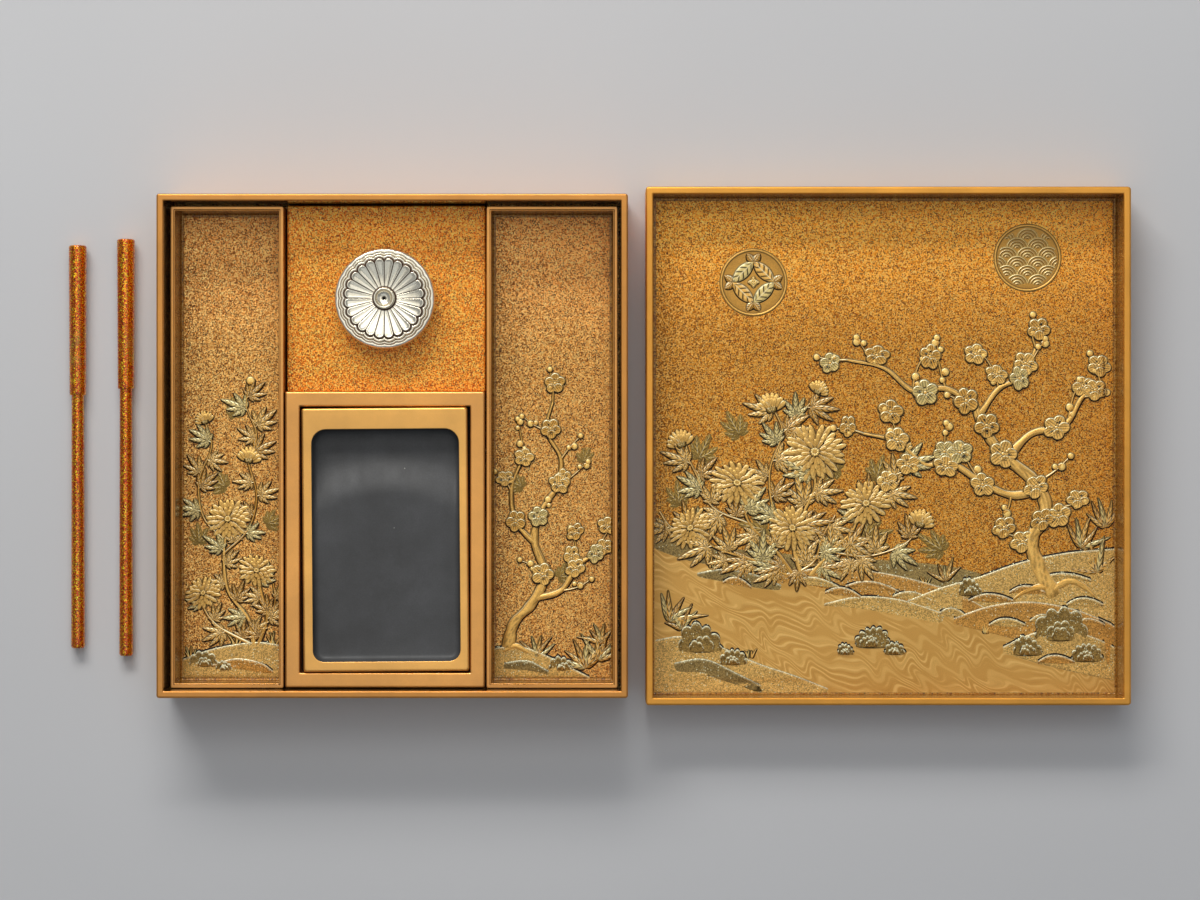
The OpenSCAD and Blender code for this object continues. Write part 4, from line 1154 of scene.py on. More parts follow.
def roundel(R, x, y, r, kind):
    """Ring with a plain geometric filling."""
    a = np.linspace(0, 2 * PI, 73)[:-1]
    rho = np.array([r + 0.3, r, r - 0.18, r - 0.55, r - 0.95, r - 1.15, r - 1.25, r - 1.6, r - 4.0, r * 0.35, 0.05])
    h = np.array([0.0, 0.0, 0.42, 0.50, 0.42, 0.12, 0.10, 0.12, 0.10, 0.10, 0.10])
    dk = np.array([0.5, 0.95, 0.15, 0, 0.1, 0.9, 0.8, 0.25, 0.12, 0.1, 0.1])
    X, Y = x + rho[:, None] * np.cos(a), y + rho[:, None] * np.sin(a)
    C = np.where((rho > r - 1.0)[:, None, None], GOLD, GOLD_DEEP * 0.92)
    R.grid(X, Y, np.broadcast_to(h[:, None] + 0.012, X.shape).copy(), blend_to(np.broadcast_to(C, X.shape + (3,)), DARK, np.broadcast_to(dk[:, None], X.shape)), wrap=True)
    if kind == "rings":
        q = r * 0.62
        for i in range(4):
            ca = 45 + 90 * i
            # a lens between neighbouring circles, point to point
            sx, sy = (q, 0) if i == 0 else (0, q) if i == 1 else (-q, 0) if i == 2 else (0, -q)
            blade(R, x + sx, y + sy, ca + 90, q * 1.414, q * 0.60, H=0.40, base=0.12, tint=(GOLD, LEAF_PALE)[i % 2], shape="lens", n=19, across=WIDE, kind=0.5, root=0.0)
            sx, sy = (q * math.cos(math.radians(90 * i)), q * math.sin(math.radians(90 * i)))
            for s_ in (-1, 1):
                blade(R, x + sx, y + sy, 90 * i + s_ * 45, q * 0.50, q * 0.34, H=0.34, base=0.12, tint=GOLD_DEEP, shape="leaf", bend=-s_ * 30, n=11, kind=0.5)
        blade(R, x - q * 0.30, y, 0, q * 0.6, q * 0.26, H=0.36, base=0.12, tint=GOLD_PALE, shape="lens", n=11)
        blade(R, x, y - q * 0.30, 90, q * 0.6, q * 0.26, H=0.36, base=0.14, tint=GOLD_PALE, shape="lens", n=11)
    else:
        pitch = r * 0.62
        for row in range(-3, 4):
            for col in range(-3, 4):
                cx, cy = (col + 0.5 * (row % 2)) * pitch, row * pitch * 0.44
                for kk, rr in enumerate((0.50, 0.36, 0.22, 0.09)):
                    t = np.linspace(math.radians(12), math.radians(168), 13)
                    P = np.stack([cx + pitch * rr * np.cos(t), cy + pitch * rr * np.sin(t)], 1)
                    ok = np.hypot(P[:, 0], P[:, 1]) < r - 1.9
                    if ok.sum() >= 4:
                        i0 = int(np.argmax(ok))
                        i1 = len(ok) - int(np.argmax(ok[::-1]))
                        Q = [(x + u, y + v, 0.24) for u, v in P[i0:i1]]
                        rod(R, Q, H=0.26, base=0.12 + 0.02 * (3 - row) * 0.2, tint=(GOLD_PALE if kk % 2 == 0 else GOLD), n=1, dark=0.8)


# ---- materials of the pictures
def relief_gold():
    k = Mat("raised_gold", Coat_Weight=0.12, Coat_Roughness=0.14, Specular_IOR_Level=0.2)
    p = k.obj()
    tint = k.n("ShaderNodeAttribute", attribute_name="tint", attribute_type="GEOMETRY").outputs["Color"]
    fine = k.voronoi(p, 2600)
    sep = k.n("ShaderNodeSeparateColor", {"Color": fine.outputs["Color"]})
    cloud = k.noise(p, 240, 3.0, 0.6)
    g = k.maprange(sep.outputs[0], 0.0, 1.0, 1.02, 1.36)
    col = k.mix(1.0, tint, k.n("ShaderNodeCombineColor", {"Red": g, "Green": g, "Blue": g}).outputs[0], "MULTIPLY")
    wear_and_highlight = k.maprange(cloud, 0.58, 0.72, 0.0, 0.25)
    col = k.mix(wear_and_highlight, col, tuple(GOLD_DEEP * 0.7) + (1,))
    lm = k.n("ShaderNodeSeparateColor", {"Color": k.n("ShaderNodeAttribute", attribute_name="leafmap", attribute_type="GEOMETRY").outputs["Color"]})
    u, v, kind = lm.outputs[0], lm.outputs[1], lm.outputs[2]
    inside = k.maprange(v, 0.86, 0.94, 1.0, 0.0)
    is_leaf = k.math("MULTIPLY", k.maprange(kind, 0.2, 0.4, 0.0, 1.0), k.maprange(kind, 0.6, 0.8, 1.0, 0.0))
    is_petal = k.maprange(kind, 0.8, 0.95, 0.0, 1.0)
    mid = k.maprange(v, 0.05, 0.14, 1.0, 0.0)
    saw = k.math("FRACT", k.math("SUBTRACT", k.math("MULTIPLY", u, 5.0), k.math("MULTIPLY", v, 0.9)))
    side = k.maprange(k.math("ABSOLUTE", k.math("SUBTRACT", saw, 0.5)), 0.10, 0.22, 1.0, 0.0)
    comb = k.math("FRACT", k.math("MULTIPLY", v, 2.5))
    fan = k.math("MULTIPLY", k.maprange(k.math("ABSOLUTE", k.math("SUBTRACT", comb, 0.5)), 0.10, 0.24, 1.0, 0.0), k.maprange(u, 0.70, 1.0, 1.0, 0.25))
    cut = k.math("MULTIPLY", k.math("ADD", k.math("MULTIPLY", is_leaf, k.math("MULTIPLY", side, 0.90)), k.math("MULTIPLY", is_petal, k.math("MULTIPLY", fan, 0.62))), inside)
    col = k.mix(cut, col, tuple(DARK) + (1,))
    col = k.mix(k.math("MULTIPLY", k.math("MULTIPLY", is_leaf, mid), 0.8), col, tuple(0.5 * GOLD_PALE + 0.5 * SILVER_AND_HIGHLIGHT) + (1,))
    high = k.math("SUBTRACT", k.math("MULTIPLY", is_leaf, mid), cut)
    return k.set(Base_Color=col, Metallic=0.50, Roughness=k.maprange(cloud, 0.3, 0.7, 0.36, 0.48), Normal=k.bump(high, 0.45, 0.0001, k.bump(sep.outputs[1], 0.10, 0.00008)))


def relief_land():
    """Sprinkled land: the point colour under bright flecks and dark pits."""
    k = Mat("sprinkled_land", Coat_Weight=0.12, Coat_Roughness=0.12, Specular_IOR_Level=0.15)
    p = k.obj()
    tint = k.n("ShaderNodeAttribute", attribute_name="tint", attribute_type="GEOMETRY").outputs["Color"]
    v1, v2 = k.voronoi(p, 2300), k.voronoi(k.vmath("ADD", p, (0.003, 0.011, 0.002)), 1150)
    s1 = k.n("ShaderNodeSeparateColor", {"Color": v1.outputs["Color"]})
    s2 = k.n("ShaderNodeSeparateColor", {"Color": v2.outputs["Color"]})
    g = k.maprange(s1.outputs[0], 0.0, 1.0, 0.42, 1.32)
    col = k.mix(1.0, tint, k.n("ShaderNodeCombineColor", {"Red": g, "Green": g, "Blue": g}).outputs[0], "MULTIPLY")
    big = k.noise(p, 60, 3.0, 0.6)
    fleck = k.math("MULTIPLY", k.maprange(v2.outputs["Distance"], 0.22, 0.34, 1.0, 0.0), k.maprange(k.math("ADD", s2.outputs[0], k.math("MULTIPLY", k.math("SUBTRACT", big, 0.5), 0.9)), 0.78, 0.84, 0.0, 1.0))
    col = k.mix(fleck, col, disp(250, 236, 188, 0.8))
    return k.set(Base_Color=col, Metallic=k.maprange(fleck, 0.0, 1.0, 0.3, 0.7), Roughness=0.36, Normal=k.bump(s1.outputs[1], 0.10, 0.0001))


def relief_water():
    """Smooth gold with finely engraved lines that swing in bundles."""
    k = Mat("flowing_water", Coat_Weight=0.2, Coat_Roughness=0.14, Specular_IOR_Level=0.2)
    p = k.obj()
    sep = k.n("ShaderNodeSeparateXYZ", {"Vector": p})
    x, y = sep.outputs[0], sep.outputs[1]
    n1 = k.noise(p, 26, 2.0, 0.5)
    n2 = k.noise(p, 60, 1.0, 0.4)
    swing = k.math("SINE", k.math("ADD", k.math("MULTIPLY", x, 430.0), k.math("ADD", k.math("MULTIPLY", y, 330.0), k.math("MULTIPLY", n1, 15.0))))
    amp = k.maprange(k.noise(p, 34, 1.0, 0.4), 0.35, 0.65, 0.0008, 0.0036, True)
    yy = k.math("ADD", y, k.math("ADD", k.math("MULTIPLY", swing, amp), k.math("ADD", k.math("MULTIPLY", x, 0.22), k.math("MULTIPLY", n2, 0.002))))
    bold = k.math("SINE", k.math("MULTIPLY", yy, 2 * PI * 330))
    broad = k.math("SINE", k.math("MULTIPLY", yy, 2 * PI * 97))
    patch = k.maprange(k.noise(k.vmath("MULTIPLY", p, (0.7, 1.6, 1.0)), 70, 2.0, 0.5), 0.36, 0.62, 0.0, 1.0, True)
    lines = k.math("MULTIPLY", k.maprange(bold, 0.25, 1.0, 0.0, 1.0, True), k.math("MULTIPLY", patch, 0.62))
    wide = k.math("MULTIPLY", k.maprange(broad, 0.35, 1.0, 0.0, 1.0, True), 0.30)
    f = k.math("MAXIMUM", lines, wide)
    shade = k.math("MULTIPLY", k.maprange(bold, -0.4, -1.0, 0.0, 1.0, True), k.math("MULTIPLY", patch, 0.20))
    base = k.mix(k.maprange(k.noise(p, 18, 3.0, 0.5), 0.3, 0.7, 0.0, 1.0), disp(184, 138, 70, 0.76), disp(196, 150, 80, 0.76))
    col = k.mix(f, base, disp(228, 184, 110, 0.76))
    col = k.mix(shade, col, disp(158, 112, 52, 0.76))
    gr = k.maprange(k.noise(p, 3200, 1.0, 0.5), 0.3, 0.7, 0.90, 1.08)
    col = k.mix(1.0, col, k.n("ShaderNodeCombineColor", {"Red": gr, "Green": gr, "Blue": gr}).outputs[0], "MULTIPLY")
    return k.set(Base_Color=col, Metallic=0.55, Roughness=k.maprange(f, 0.0, 1.0, 0.40, 0.32), Normal=k.bump(f, 0.35, 0.00012))


m_relief, m_land, m_water = relief_gold(), relief_land(), relief_water()
LAND_PALE = np.array(disp(214, 172, 98, 0.84)[:3])
LAND_GOLD = np.array(disp(202, 148, 74, 0.84)[:3])
LAND_GREY = np.array(disp(152, 128, 78, 0.86)[:3])

# ---- lid picture: coordinates from the lid's centre
L = Relief(LID_F, -LID_W / 2 + LID_T + 0.9, LID_W / 2 - LID_T - 0.9, -LID_D / 2 + LID_T + 0.9, LID_D / 2 - LID_T - 0.9, shy=3.9)
bank_line = [(-114, -50), (-92, -57), (-66, -60), (-38, -68), (-8, -74), (24, -80), (56, -90), (86, -99), (114, -104)]
C0 = curve(bank_line, 6)
rows = [C0 + np.array([0, 0.2]), C0, C0 - np.array([0, 0.5])] + [np.stack([C0[:, 0], C0[:, 1] + (-122 - C0[:, 1]) * t], 1) for t in np.linspace(0.06, 1, 12)]
L.grid(np.array([q[:, 0] for q in rows]), np.array([q[:, 1] for q in rows]), np.array([[0.012], [0.03]] + [[0.045]] * (len(rows) - 2)) + np.zeros((1, len(C0))), GOLD, mat=2)
# far shore: a band of mist, then sand spits
ridge(L, [(-114, -44), (-90, -49), (-64, -52), (-30, -55), (6, -57), (34, -60), (56, -66)], [(-114, -52), (-90, -60), (-64, -63), (-30, -68), (6, -72), (34, -76), (56, -80)], H=0.05, tint=LAND_GREY, mat=1, shade=0.0, edge=0.0, dark_line=False)
ridge(L, [(-60, -66), (-40, -60.5), (-16, -60), (10, -64), (36, -72), (58, -84)], [(-60, -67), (-40, -68), (-14, -71), (12, -77), (38, -86), (58, -93)], H=0.34, tint=LAND_GOLD, mat=1, shade=0.25)
ridge(L, [(-30, -77), (-12, -73.5), (8, -75), (30, -82)], [(-30, -78), (-12, -80), (10, -84), (30, -88)], H=0.30, tint=LAND_PALE, mat=1, shade=0.3)
ridge(L, [(-92, -62), (-78, -60), (-62, -63), (-50, -68)], [(-92, -64), (-78, -67), (-62, -70), (-50, -71)], H=0.28, tint=LAND_GREY, mat=1, shade=0.3)
for i, (x, y, w) in enumerate(((-34, -64, 24), (-6, -66, 26), (14, -71, 20), (-20, -69, 18), (34, -79, 14), (-72, -64, 14))):
    ridge(L, [(x - w / 2, y - 2), (x - w / 4, y - 0.2), (x, y), (x + w / 4, y - 1.6), (x + w / 2, y - 4.5)], [(x - w / 2, y - 2.6), (x - w / 4, y - 3.6), (x, y - 4.2), (x + w / 4, y - 5), (x + w / 2, y - 5.2)],
          H=0.26, tint=(LAND_PALE, LAND_GOLD)[i % 2], mat=1, shade=0.5, base=0.18)
# hill on the right, in three folds
ridge(L, [(10, -76), (28, -69), (46, -64), (66, -57), (90, -52), (114, -50)], [(10, -79), (30, -84), (48, -88), (68, -93), (90, -98), (114, -102)], H=0.5, tint=LAND_PALE, mat=1, shade=0.15)
ridge(L, [(34, -84), (52, -78), (72, -76), (94, -80), (114, -88)], [(34, -87), (54, -92), (74, -97), (94, -102), (114, -108)], H=0.46, tint=LAND_GOLD, mat=1, shade=0.3, base=0.10)
ridge(L, [(58, -98), (74, -91), (90, -90), (104, -94), (114, -99)], [(58, -101), (74, -106), (90, -110), (104, -113), (114, -115)], H=0.42, tint=LAND_PALE, mat=1, shade=0.3, base=0.16)
for i, (x, y, w) in enumerate(((52, -72, 22), (88, -62, 26), (70, -68, 18), (60, -84, 18), (100, -84, 16), (78, -82, 14), (84, -102, 18), (98, -74, 18))):
    ridge(L, [(x - w / 2, y - 3), (x - w / 4, y - 0.6), (x, y), (x + w / 4, y - 0.9), (x + w / 2, y - 3)], [(x - w / 2, y - 3.6), (x - w / 4, y - 4.0), (x, y - 4.4), (x + w / 4, y - 4.4), (x + w / 2, y - 3.8)],
          H=0.24, tint=(LAND_GOLD, LAND_PALE)[i % 2], mat=1, shade=0.5, base=0.46 - 0.01 * i)
# near bank, lower left
ridge(L, [(-114, -95), (-98, -93), (-80, -98), (-62, -106), (-44, -112), (-26, -119)], [(-114, -122), (-98, -122), (-80, -122), (-62, -122), (-44, -122), (-26, -121)], H=0.46, tint=LAND_PALE, mat=1, shade=0.2, fade=0.6)
ridge(L, [(-104, -106), (-88, -104), (-72, -111), (-60, -117)], [(-104, -111), (-88, -112), (-72, -117), (-60, -121)], H=0.30, tint=LAND_GREY, mat=1, shade=0.3, base=0.30)
# rocks
for i, (x, y, w, h) in enumerate(((86, -93, 26, 17), (70, -101, 15, 9), (99, -104, 15, 9), (-90, -99, 22, 14), (-74, -106, 13, 8), (-6, -97, 17, 10), (5, -101, 10, 6), (-19, -101, 8, 5), (42, -72, 12, 8))):
    rock(L, x, y, w, h, seed=20 + i, H=0.9, lobes=5 + i % 3, base=0.35)
# flat dull leaves behind everything
for i, (x, y, a, sz) in enumerate(((-20, -12, 160, 15), (-92, -8, 60, 14), (-56, -40, 200, 16), (-12, -46, 20, 15), (-70, 4, 120, 13), (30, -52, 150, 14), (-4, -18, 80, 13), (-100, -30, 100, 12))):
    kiku_leaf(L, x, y, a, sz, seed=300 + i, flat=True)
L.make("lid_shore_and_water", [m_relief, m_land, m_water], "lid", dx=LID_X)
# plum tree
rod(L, [(84, -74, 4.4), (76, -60, 3.6), (72, -46, 3.3), (79, -32, 3.2), (74, -18, 2.8), (60, -6, 2.6), (50, 6, 2.1), (44, 20, 1.7)], H=1.0, base=0.0, tint=GOLD, n=9, gnarl=0.16, seed=5, streak=0.3)
rod(L, [(80, -72, 1.4), (90, -66, 2.0), (98, -69, 1.3), (103, -74, 0.5)], H=0.8, tint=GOLD, n=6, gnarl=0.15, seed=6, base=0.1)
rod(L, [(86, -71, 1.4), (78, -69, 2.1), (69, -71, 1.2), (62, -76, 0.5)], H=0.8, tint=GOLD_DEEP, n=6, gnarl=0.15, seed=7, base=0.1)
rod(L, [(76, -22, 2.2), (62, -24, 1.8), (48, -18, 1.6), (32, -8, 1.3), (20, -9, 1.1), (6, 2, 0.9), (-10, 6, 0.6)], H=0.8, base=0.1, tint=GOLD, n=8, gnarl=0.14, seed=8)
rod(L, [(60, -6, 1.9), (72, 6, 1.6), (88, 10, 1.3), (97, 24, 1.0), (106, 30, 0.6)], H=0.8, base=0.1, tint=GOLD, n=8, gnarl=0.14, seed=9)
rod(L, [(44, 20, 1.6), (30, 28, 1.3), (14, 27, 1.1), (0, 38, 0.8), (-18, 42, 0.5)], H=0.8, base=0.1, tint=GOLD, n=8, gnarl=0.14, seed=10)
rod(L, [(46, 14, 1.4), (56, 28, 1.1), (68, 34, 0.9), (74, 48, 0.6)], H=0.7, base=0.1, tint=GOLD, n=8, gnarl=0.12, seed=11)
for i, (x, y, a, ln, nf) in enumerate(((30, 28, 100, 24, 2), (14, 27, 70, 20, 2), (-2, 39, 130, 17, 2), (-18, 42, 175, 14, 1), (56, 28, 118, 22, 2), (68, 34, 60, 20, 2), (74, 48, 95, 15, 1), (90, 12, 75, 20, 2), (106, 30, 110, 15, 1), (97, 24, 10, 11, 1),
                                      (48, -18, 120, 20, 2), (32, -8, 95, 18, 2), (18, -9, 200, 20, 2), (6, 2, 110, 16, 2), (-10, 6, 170, 14, 1), (62, -24, 250, 14, 1), (79, -34, 20, 19, 2), (73, -46, 165, 17, 2), (78, -16, 40, 16, 1), (44, 20, 160, 13, 1))):
    plum_twig(L, x, y, a, ln, seed=40 + i, flowers=nf, r=6.3)
for i, (x, y, r) in enumerate(((58, -4, 6.2), (74, -20, 6.0), (40, 22, 6.0), (20, 26, 5.8), (30, -10, 5.8), (84, 9, 6.0), (50, 10, 5.6), (66, 33, 5.4), (48, -19, 5.6), (6, 3, 5.4), (77, -36, 5.6))):
    ume(L, x, y, r * 1.12, turn=17 * i, sq=(1.0, 0.8, 0.9)[i % 3], tilt=40 * i, seed=80 + i, base=0.72)
L.make("lid_plum_tree", [m_relief], "lid", dx=LID_X)
# chrysanthemums
stems = (((-40, -64, 1.2), (-44, -50, 0.9), (-40, -34, 0.7), (-34, -20, 0.6), (-36, -8, 0.5)), ((-44, -64, 1.1), (-54, -50, 0.8), (-66, -38, 0.6), (-70, -24, 0.5)), ((-37, -64, 1.1), (-26, -52, 0.8), (-16, -42, 0.6), (-12, -32, 0.5)),
         ((-46, -64, 1.0), (-64, -56, 0.7), (-82, -50, 0.5), (-92, -42, 0.45)), ((-44, -50, 0.7), (-54, -32, 0.55), (-56, -12, 0.45), (-50, 6, 0.4), (-54, 18, 0.35)), ((-26, -52, 0.7), (-8, -54, 0.55), (10, -48, 0.45), (16, -40, 0.4)), ((-66, -38, 0.55), (-84, -30, 0.45), (-92, -14, 0.4), (-98, -2, 0.35)),
         ((-42, -62, 0.8), (-34, -56, 0.6), (-30, -44, 0.5), (-24, -34, 0.4)), ((-50, 6, 0.4), (-42, 14, 0.35), (-34, 24, 0.3)), ((-12, -32, 0.45), (0, -24, 0.4), (8, -14, 0.35), (8, -4, 0.3)), ((-92, -42, 0.45), (-104, -40, 0.4), (-110, -32, 0.35)))
for i, st in enumerate(stems):
    leafy(L, st, 13.5, seed=100 + i, every=9.2, tint=(GOLD, GOLD_DEEP)[i % 2])
for i, (x, y, a, sz) in enumerate(((-47, -58, 210, 12), (-33, -58, 330, 12), (-42, -60, 270, 10), (-62, -57, 200, 11), (-15, -55, 240, 11), (-54, -60, 160, 11), (-28, -60, 20, 11), (-76, -56, 190, 10))):
    kiku_leaf(L, x, y, a, sz, seed=200 + i, base=0.1 * (i % 3))
kiku(L, -34, -3, 15.0, sq=0.94, tilt=10, seed=1, base=0.34, n0=21)
kiku(L, -72, -18, 13.5, sq=0.76, tilt=-14, seed=2, base=0.34)
kiku(L, -9, -28, 12.5, sq=0.84, tilt=20, seed=3, base=0.34)
kiku(L, -45, -40, 12.0, sq=0.88, tilt=-30, seed=4, base=0.40)
kiku(L, -95, -40, 11.5, sq=0.78, tilt=30, seed=5, base=0.30)
kiku_side(L, -55, 17, 9.5, ang=105, seed=6)
kiku_side(L, 17, -39, 8.5, ang=70, seed=7)
kiku_side(L, -99, 0, 8.5, ang=110, seed=8)
kiku_side(L, -33, 26, 6.5, ang=60, seed=9)
kiku_side(L, 8, -2, 7.0, ang=85, seed=12)
L.make("lid_chrysanthemums", [m_relief], "lid", dx=LID_X)
# bamboo grass and tufts on the shores
for i, (x, y, a, n, sz) in enumerate(((104, -62, 110, 4, 17), (96, -50, 70, 3, 15), (108, -40, 100, 3, 14), (-105, -86, 62, 3, 17), (-99, -90, 100, 3, 13), (30, -66, 100, 3, 11))):
    sasa(L, x, y, a, n, sz, seed=60 + i)
for i, (x, y, n, sz) in enumerate(((-84, -60, 6, 8), (-22, -64, 5, 7), (20, -70, 6, 8), (50, -92, 5, 7), (92, -106, 5, 7), (-84, -97, 5, 6), (-66, -104, 5, 6))):
    grass(L, x, y, n, sz, seed=70 + i)
L.make("lid_grasses", [m_relief], "lid", dx=LID_X)
roundel(L, -64, 80, 16.4, "rings")
roundel(L, 70, 92, 16.4, "waves")
L.make("lid_roundels", [m_relief], "lid", dx=LID_X)

# ---- left tray: chrysanthemums rising from a small bank
T = Relief(TRAY_Z + TRAY_F, -LT_W / 2 + TRAY_T + 0.9, LT_W / 2 - TRAY_T - 0.9, -TRAY_D / 2 + TRAY_T + 0.9, TRAY_D / 2 - TRAY_T - 0.9)
ridge(T, [(-26, -104), (-12, -99), (2, -96), (14, -95), (26, -97)], [(-26, -112.4), (-12, -112.4), (2, -112.4), (14, -112.4), (26, -112.4)], H=0.46, tint=LAND_PALE, mat=1, shade=0.2, fade=0.4)
ridge(T, [(-10, -106), (2, -103), (14, -105), (20, -109)], [(-10, -107), (2, -108), (14, -110), (20, -110)], H=0.3, tint=LAND_GOLD, mat=1, shade=0.4, base=0.3)
rock(T, -14, -106, 14, 8, seed=61, H=0.7, base=0.15)
rock(T, -4, -108, 8, 4.5, seed=62, H=0.6, base=0.2)
for i, (x, y, a, sz) in enumerate(((-2, -20, 150, 11), (-16, -48, 90, 10), (16, -38, 30, 10), (2, 14, 100, 9))):
    kiku_leaf(T, x, y, a, sz, seed=400 + i, flat=True)
for i, st in enumerate((((11, -98, 1.2), (8, -84, 0.9), (-2, -70, 0.7), (-4, -52, 0.6), (-2, -38, 0.5)), ((12, -98, 1.0), (17, -84, 0.7), (14, -70, 0.6), (12, -62, 0.5)), ((9, -96, 0.9), (-6, -88, 0.6), (-13, -80, 0.5), (-14, -73, 0.45)),
                        ((-4, -52, 0.6), (8, -40, 0.5), (12, -24, 0.45), (8, -8, 0.4)), ((-3, -46, 0.5), (-14, -34, 0.45), (-16, -16, 0.4), (-10, 0, 0.35), (-13, 12, 0.3)), ((17, -84, 0.6), (21, -76, 0.4), (20, -66, 0.35)), ((8, -8, 0.4), (12, 6, 0.35), (7, 20, 0.3), (9, 31, 0.25)))):
    leafy(T, st, 11.0, seed=120 + i, every=8.6, tint=(GOLD, GOLD_DEEP)[i % 2])
kiku(T, -2, -35, 11.0, sq=0.9, tilt=15, seed=21, base=0.34, n0=18)
kiku(T, 12, -60, 9.5, sq=0.8, tilt=-20, seed=22, base=0.34, n0=17)
kiku(T, -14, -71, 9.0, sq=0.85, tilt=25, seed=23, base=0.34, n0=17)
kiku_side(T, 8, -7, 7.5, ang=80, seed=24)
kiku_side(T, -13, 12, 6.0, ang=110, seed=25)
bud(T, 9, 31, 1.9, 90)
for i, (x, y, n, sz) in enumerate(((20, -98, 5, 8), (-20, -104, 5, 7), (2, -97, 5, 7))):
    grass(T, x, y, n, sz, seed=170 + i)
T.make("left_tray_picture", [m_relief, m_land], "left_tray", dx=LT_X, dy=TRAY_Y)

# ---- right tray: a plum bough from the left wall, bamboo grass below
T = Relief(TRAY_Z + TRAY_F, -RT_W / 2 + TRAY_T + 0.9, RT_W / 2 - TRAY_T - 0.9, -TRAY_D / 2 + TRAY_T + 0.9, TRAY_D / 2 - TRAY_T - 0.9)
ridge(T, [(-30, -98), (-16, -97), (-2, -102), (10, -108), (18, -112)], [(-30, -112.4), (-16, -112.4), (-2, -112.4), (10, -112.4), (18, -112.4)], H=0.46, tint=LAND_PALE, mat=1, shade=0.2, fade=0.4)
ridge(T, [(-24, -105), (-12, -104), (-2, -109)], [(-24, -108), (-12, -109), (-2, -111)], H=0.3, tint=LAND_GREY, mat=1, shade=0.4, base=0.3)
rock(T, 4, -108, 12, 7, seed=63, H=0.7, base=0.15)
for i, (x, y, a, sz) in enumerate(((2, -64, 30, 9), (-14, -20, 150, 9), (14, -8, 60, 8))):
    kiku_leaf(T, x, y, a, sz, seed=420 + i, flat=True)
rod(T, [(-22, -99, 3.0), (-19, -86, 2.4), (-10, -76, 2.2), (-4, -62, 1.9), (-9, -46, 1.6), (-6, -32, 1.3), (2, -20, 1.0)], H=0.9, tint=GOLD, n=9, gnarl=0.16, seed=31, streak=0.3)
rod(T, [(-25, -100, 0.5), (-18, -97, 1.4), (-11, -101, 0.5)], H=0.7, tint=GOLD, n=6, gnarl=0.15, seed=32, base=0.15)
rod(T, [(-9, -74, 1.6), (4, -70, 1.3), (12, -58, 1.1), (21, -52, 0.7)], H=0.8, base=0.1, tint=GOLD, n=8, gnarl=0.14, seed=33)
rod(T, [(-8, -48, 1.3), (-18, -36, 1.0), (-20, -20, 0.8), (-14, -4, 0.5)], H=0.8, base=0.1, tint=GOLD, n=8, gnarl=0.14, seed=34)
rod(T, [(2, -20, 1.0), (4, -6, 0.8), (-3, 8, 0.6), (0, 22, 0.4)], H=0.7, base=0.1, tint=GOLD, n=8, gnarl=0.12, seed=35)
for i, (x, y, a, ln, nf) in enumerate(((21, -52, 60, 16, 2), (12, -58, 100, 18, 2), (4, -70, 20, 15, 1), (-14, -4, 100, 17, 2), (-20, -22, 130, 12, 1), (2, -20, 40, 19, 2), (0, 22, 95, 15, 1), (-3, 8, 150, 13, 1), (4, -6, 50, 14, 1), (-6, -34, 60, 14, 1), (-4, -62, 150, 13, 1))):
    plum_twig(T, x, y, a, ln, seed=240 + i, flowers=nf, r=5.2, w=0.45)
for i, (x, y, r) in enumerate(((-5, -62, 5.6), (11, -59, 5.4), (-18, -36, 5.4), (-7, -34, 5.0), (3, -18, 5.4), (-14, -5, 5.0), (-1, 9, 5.0), (21, -52, 5.0))):
    ume(T, x, y, r, turn=23 * i, sq=(1.0, 0.8, 0.9)[i % 3], tilt=35 * i, seed=280 + i, base=0.72)
for i, (x, y, a, n, sz) in enumerate(((16, -108, 100, 4, 17), (22, -104, 70, 3, 14), (-8, -103, 80, 3, 12), (24, -96, 110, 3, 12))):
    sasa(T, x, y, a, n, sz, seed=260 + i)
T.make("right_tray_picture", [m_relief, m_land], "right_tray", dx=RT_X, dy=TRAY_Y)

# ---- outer face of the lid: a plum bough over mist bands and scattered roundels, in very low relief
T = Relief(0.30, -LID_W / 2 + 4.2, LID_W / 2 - 4.2, -LID_D / 2 + 4.2, LID_D / 2 - 4.2)
for i, (x, y, w) in enumerate(((-60, 66, 90), (40, 92, 100), (60, -78, 96), (-50, -92, 110), (70, 20, 60), (-84, 0, 50))):
    ridge(T, [(x - w / 2, y), (x - w / 4, y + 4), (x, y + 3), (x + w / 4, y + 5), (x + w / 2, y)], [(x - w / 2, y - 1), (x - w / 4, y - 5), (x, y - 4), (x + w / 4, y - 6), (x + w / 2, y - 1)], H=0.2, tint=LAND_GOLD, mat=1, shade=0.0, edge=0.2)
rod(T, [(-112, -84, 4.2), (-92, -66, 3.6), (-74, -60, 3.2), (-58, -40, 2.9), (-36, -34, 2.5), (-16, -14, 2.1), (4, -8, 1.7), (20, 8, 1.3)], H=0.9, base=0.1, tint=GOLD, n=9, gnarl=0.16, seed=45, streak=0.3)
for i, pts in enumerate((((-74, -60, 2.0), (-66, -78, 1.6), (-44, -84, 1.2), (-24, -80, 0.7)), ((-58, -40, 2.2), (-64, -20, 1.6), (-56, 0, 1.2), (-62, 20, 0.9), (-54, 38, 0.5)), ((-16, -14, 1.8), (-18, 8, 1.4), (-4, 24, 1.1), (-8, 44, 0.6)), ((-36, -34, 1.8), (-16, -44, 1.3), (6, -40, 1.0), (26, -52, 0.6)), ((20, 8, 1.2), (40, 6, 0.9), (56, 18, 0.6)))):
    rod(T, pts, H=0.8, base=0.15, tint=GOLD, n=8, gnarl=0.14, seed=46 + i)
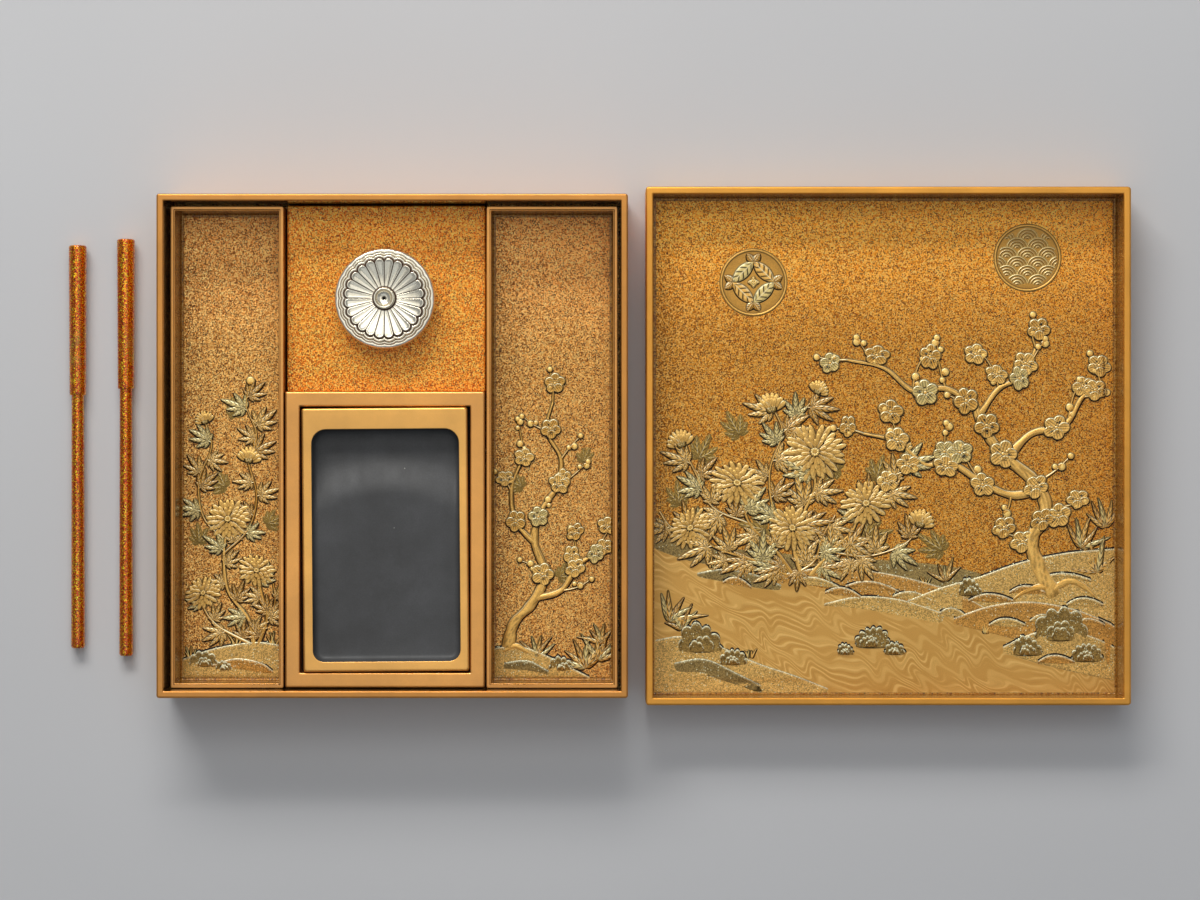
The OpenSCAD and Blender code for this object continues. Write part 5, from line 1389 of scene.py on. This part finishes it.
for i, (x, y, a, ln) in enumerate(((-24, -80, 10, 20), (-44, -84, 60, 18), (-54, 38, 80, 18), (-62, 20, 150, 18), (-56, 0, 60, 16), (-8, 44, 100, 18), (-4, 24, 20, 20), (-18, 8, 130, 16), (26, -52, 340, 20), (6, -40, 50, 18), (56, 18, 30, 20), (40, 6, 70, 20), (20, 8, 100, 18), (-92, -66, 120, 22), (-36, -34, 110, 18), (4, -8, 330, 18))):
    plum_twig(T, x, y, a, ln, seed=340 + i, flowers=2, r=6.2)
for i, (x, y, r) in enumerate(((-74, -58, 6.8), (-57, -38, 6.6), (-36, -32, 6.4), (-15, -13, 6.6), (5, -8, 6.2), (21, 9, 6.2), (-64, -18, 6.2), (-18, 9, 6.0), (-14, -45, 6.0), (-64, -79, 6.0))):
    ume(T, x, y, r, turn=31 * i, sq=(1.0, 0.85, 0.92)[i % 3], tilt=50 * i, seed=380 + i, base=0.72)
roundel(T, 76, 62, 16.4, "rings")
roundel(T, 34, 74, 16.4, "waves")
roundel(T, 82, -30, 16.4, "waves")
roundel(T, -80, 92, 16.4, "rings")
roundel(T, 40, -90, 16.4, "rings")
T.make("lid_outer_picture", [m_relief, m_land], "lid", dx=LID_X, flip=0.15)

# ---------------------------------------------------------------- stage
k = Mat("table_paper", Roughness=0.75)
p = k.obj()
t1 = k.noise(p, 900, 3.0, 0.6)
k.set(Base_Color=k.mix(k.maprange(k.noise(p, 3, 2.0), 0.3, 0.7, 0.0, 1.0), lin(198, 198, 199), lin(203, 203, 204)), Normal=k.bump(t1, 0.04, 0.0002))
me = bpy.data.meshes.new("table")
me.from_pydata([(-5, -5, -0.0003), (5, -5, -0.0003), (5, 5, -0.0003), (-5, 5, -0.0003)], [], [(0, 1, 2, 3)])
me.materials.append(k.m)
table = bpy.data.objects.new("table", me)
scene.collection.objects.link(table)

world = bpy.data.worlds.new("studio")
scene.world = world
world.use_nodes = True
world.node_tree.nodes["Background"].inputs["Color"].default_value = (0.91, 0.98, 1.09, 1)
world.node_tree.nodes["Background"].inputs["Strength"].default_value = 0.18


def area(name, loc, target, size_x, size_y, power, color=(1, 1, 1)):
    li = bpy.data.lights.new(name, "AREA")
    li.shape = "RECTANGLE"
    li.size, li.size_y = size_x, size_y
    li.energy = power
    li.color = color
    ob = bpy.data.objects.new(name, li)
    ob.location = loc
    ob.rotation_euler = (Vector(target) - Vector(loc)).to_track_quat("-Z", "Y").to_euler()
    scene.collection.objects.link(ob)
    return ob


area("key_soft", (-0.38, 1.50, 1.08), (0.05, 0.0, 0.0), 1.3, 0.5, 21.0, (1.0, 0.985, 0.96))
area("edge_strip", (-0.10, 1.38, 1.12), (0.1, 0.0, 0.0), 1.5, 0.07, 4.0, (1.0, 0.99, 0.97))
area("top_soft", (0.0, 0.45, 2.0), (0.05, 0.05, 0.0), 2.2, 1.8, 9.3, (1.0, 0.99, 0.965))
area("bright_card", (0.0, 0.80, 1.55), (0.0, 0.06, 0.0), 1.35, 0.50, 2.3, (1.0, 0.985, 0.95))
area("front_card", (0.0, -0.62, 1.55), (0.0, 0.06, 0.0), 1.2, 0.45, 0.65, (0.86, 0.93, 1.0))
area("right_soft", (1.9, 0.2, 1.3), (0.1, 0.0, 0.0), 1.2, 1.2, 1.2, (1.0, 1.0, 1.0))

cam_data = bpy.data.cameras.new("camera")
cam_data.sensor_fit = "HORIZONTAL"
cam_data.sensor_width = 36.0
cam_data.lens = 88.09
cam_data.clip_start, cam_data.clip_end = 0.01, 50.0
cam = bpy.data.objects.new("camera", cam_data)
cam.location = (0.09915, -0.00198, 1.440)
cam.rotation_euler = (0, 0, 0)
scene.collection.objects.link(cam)
scene.camera = cam
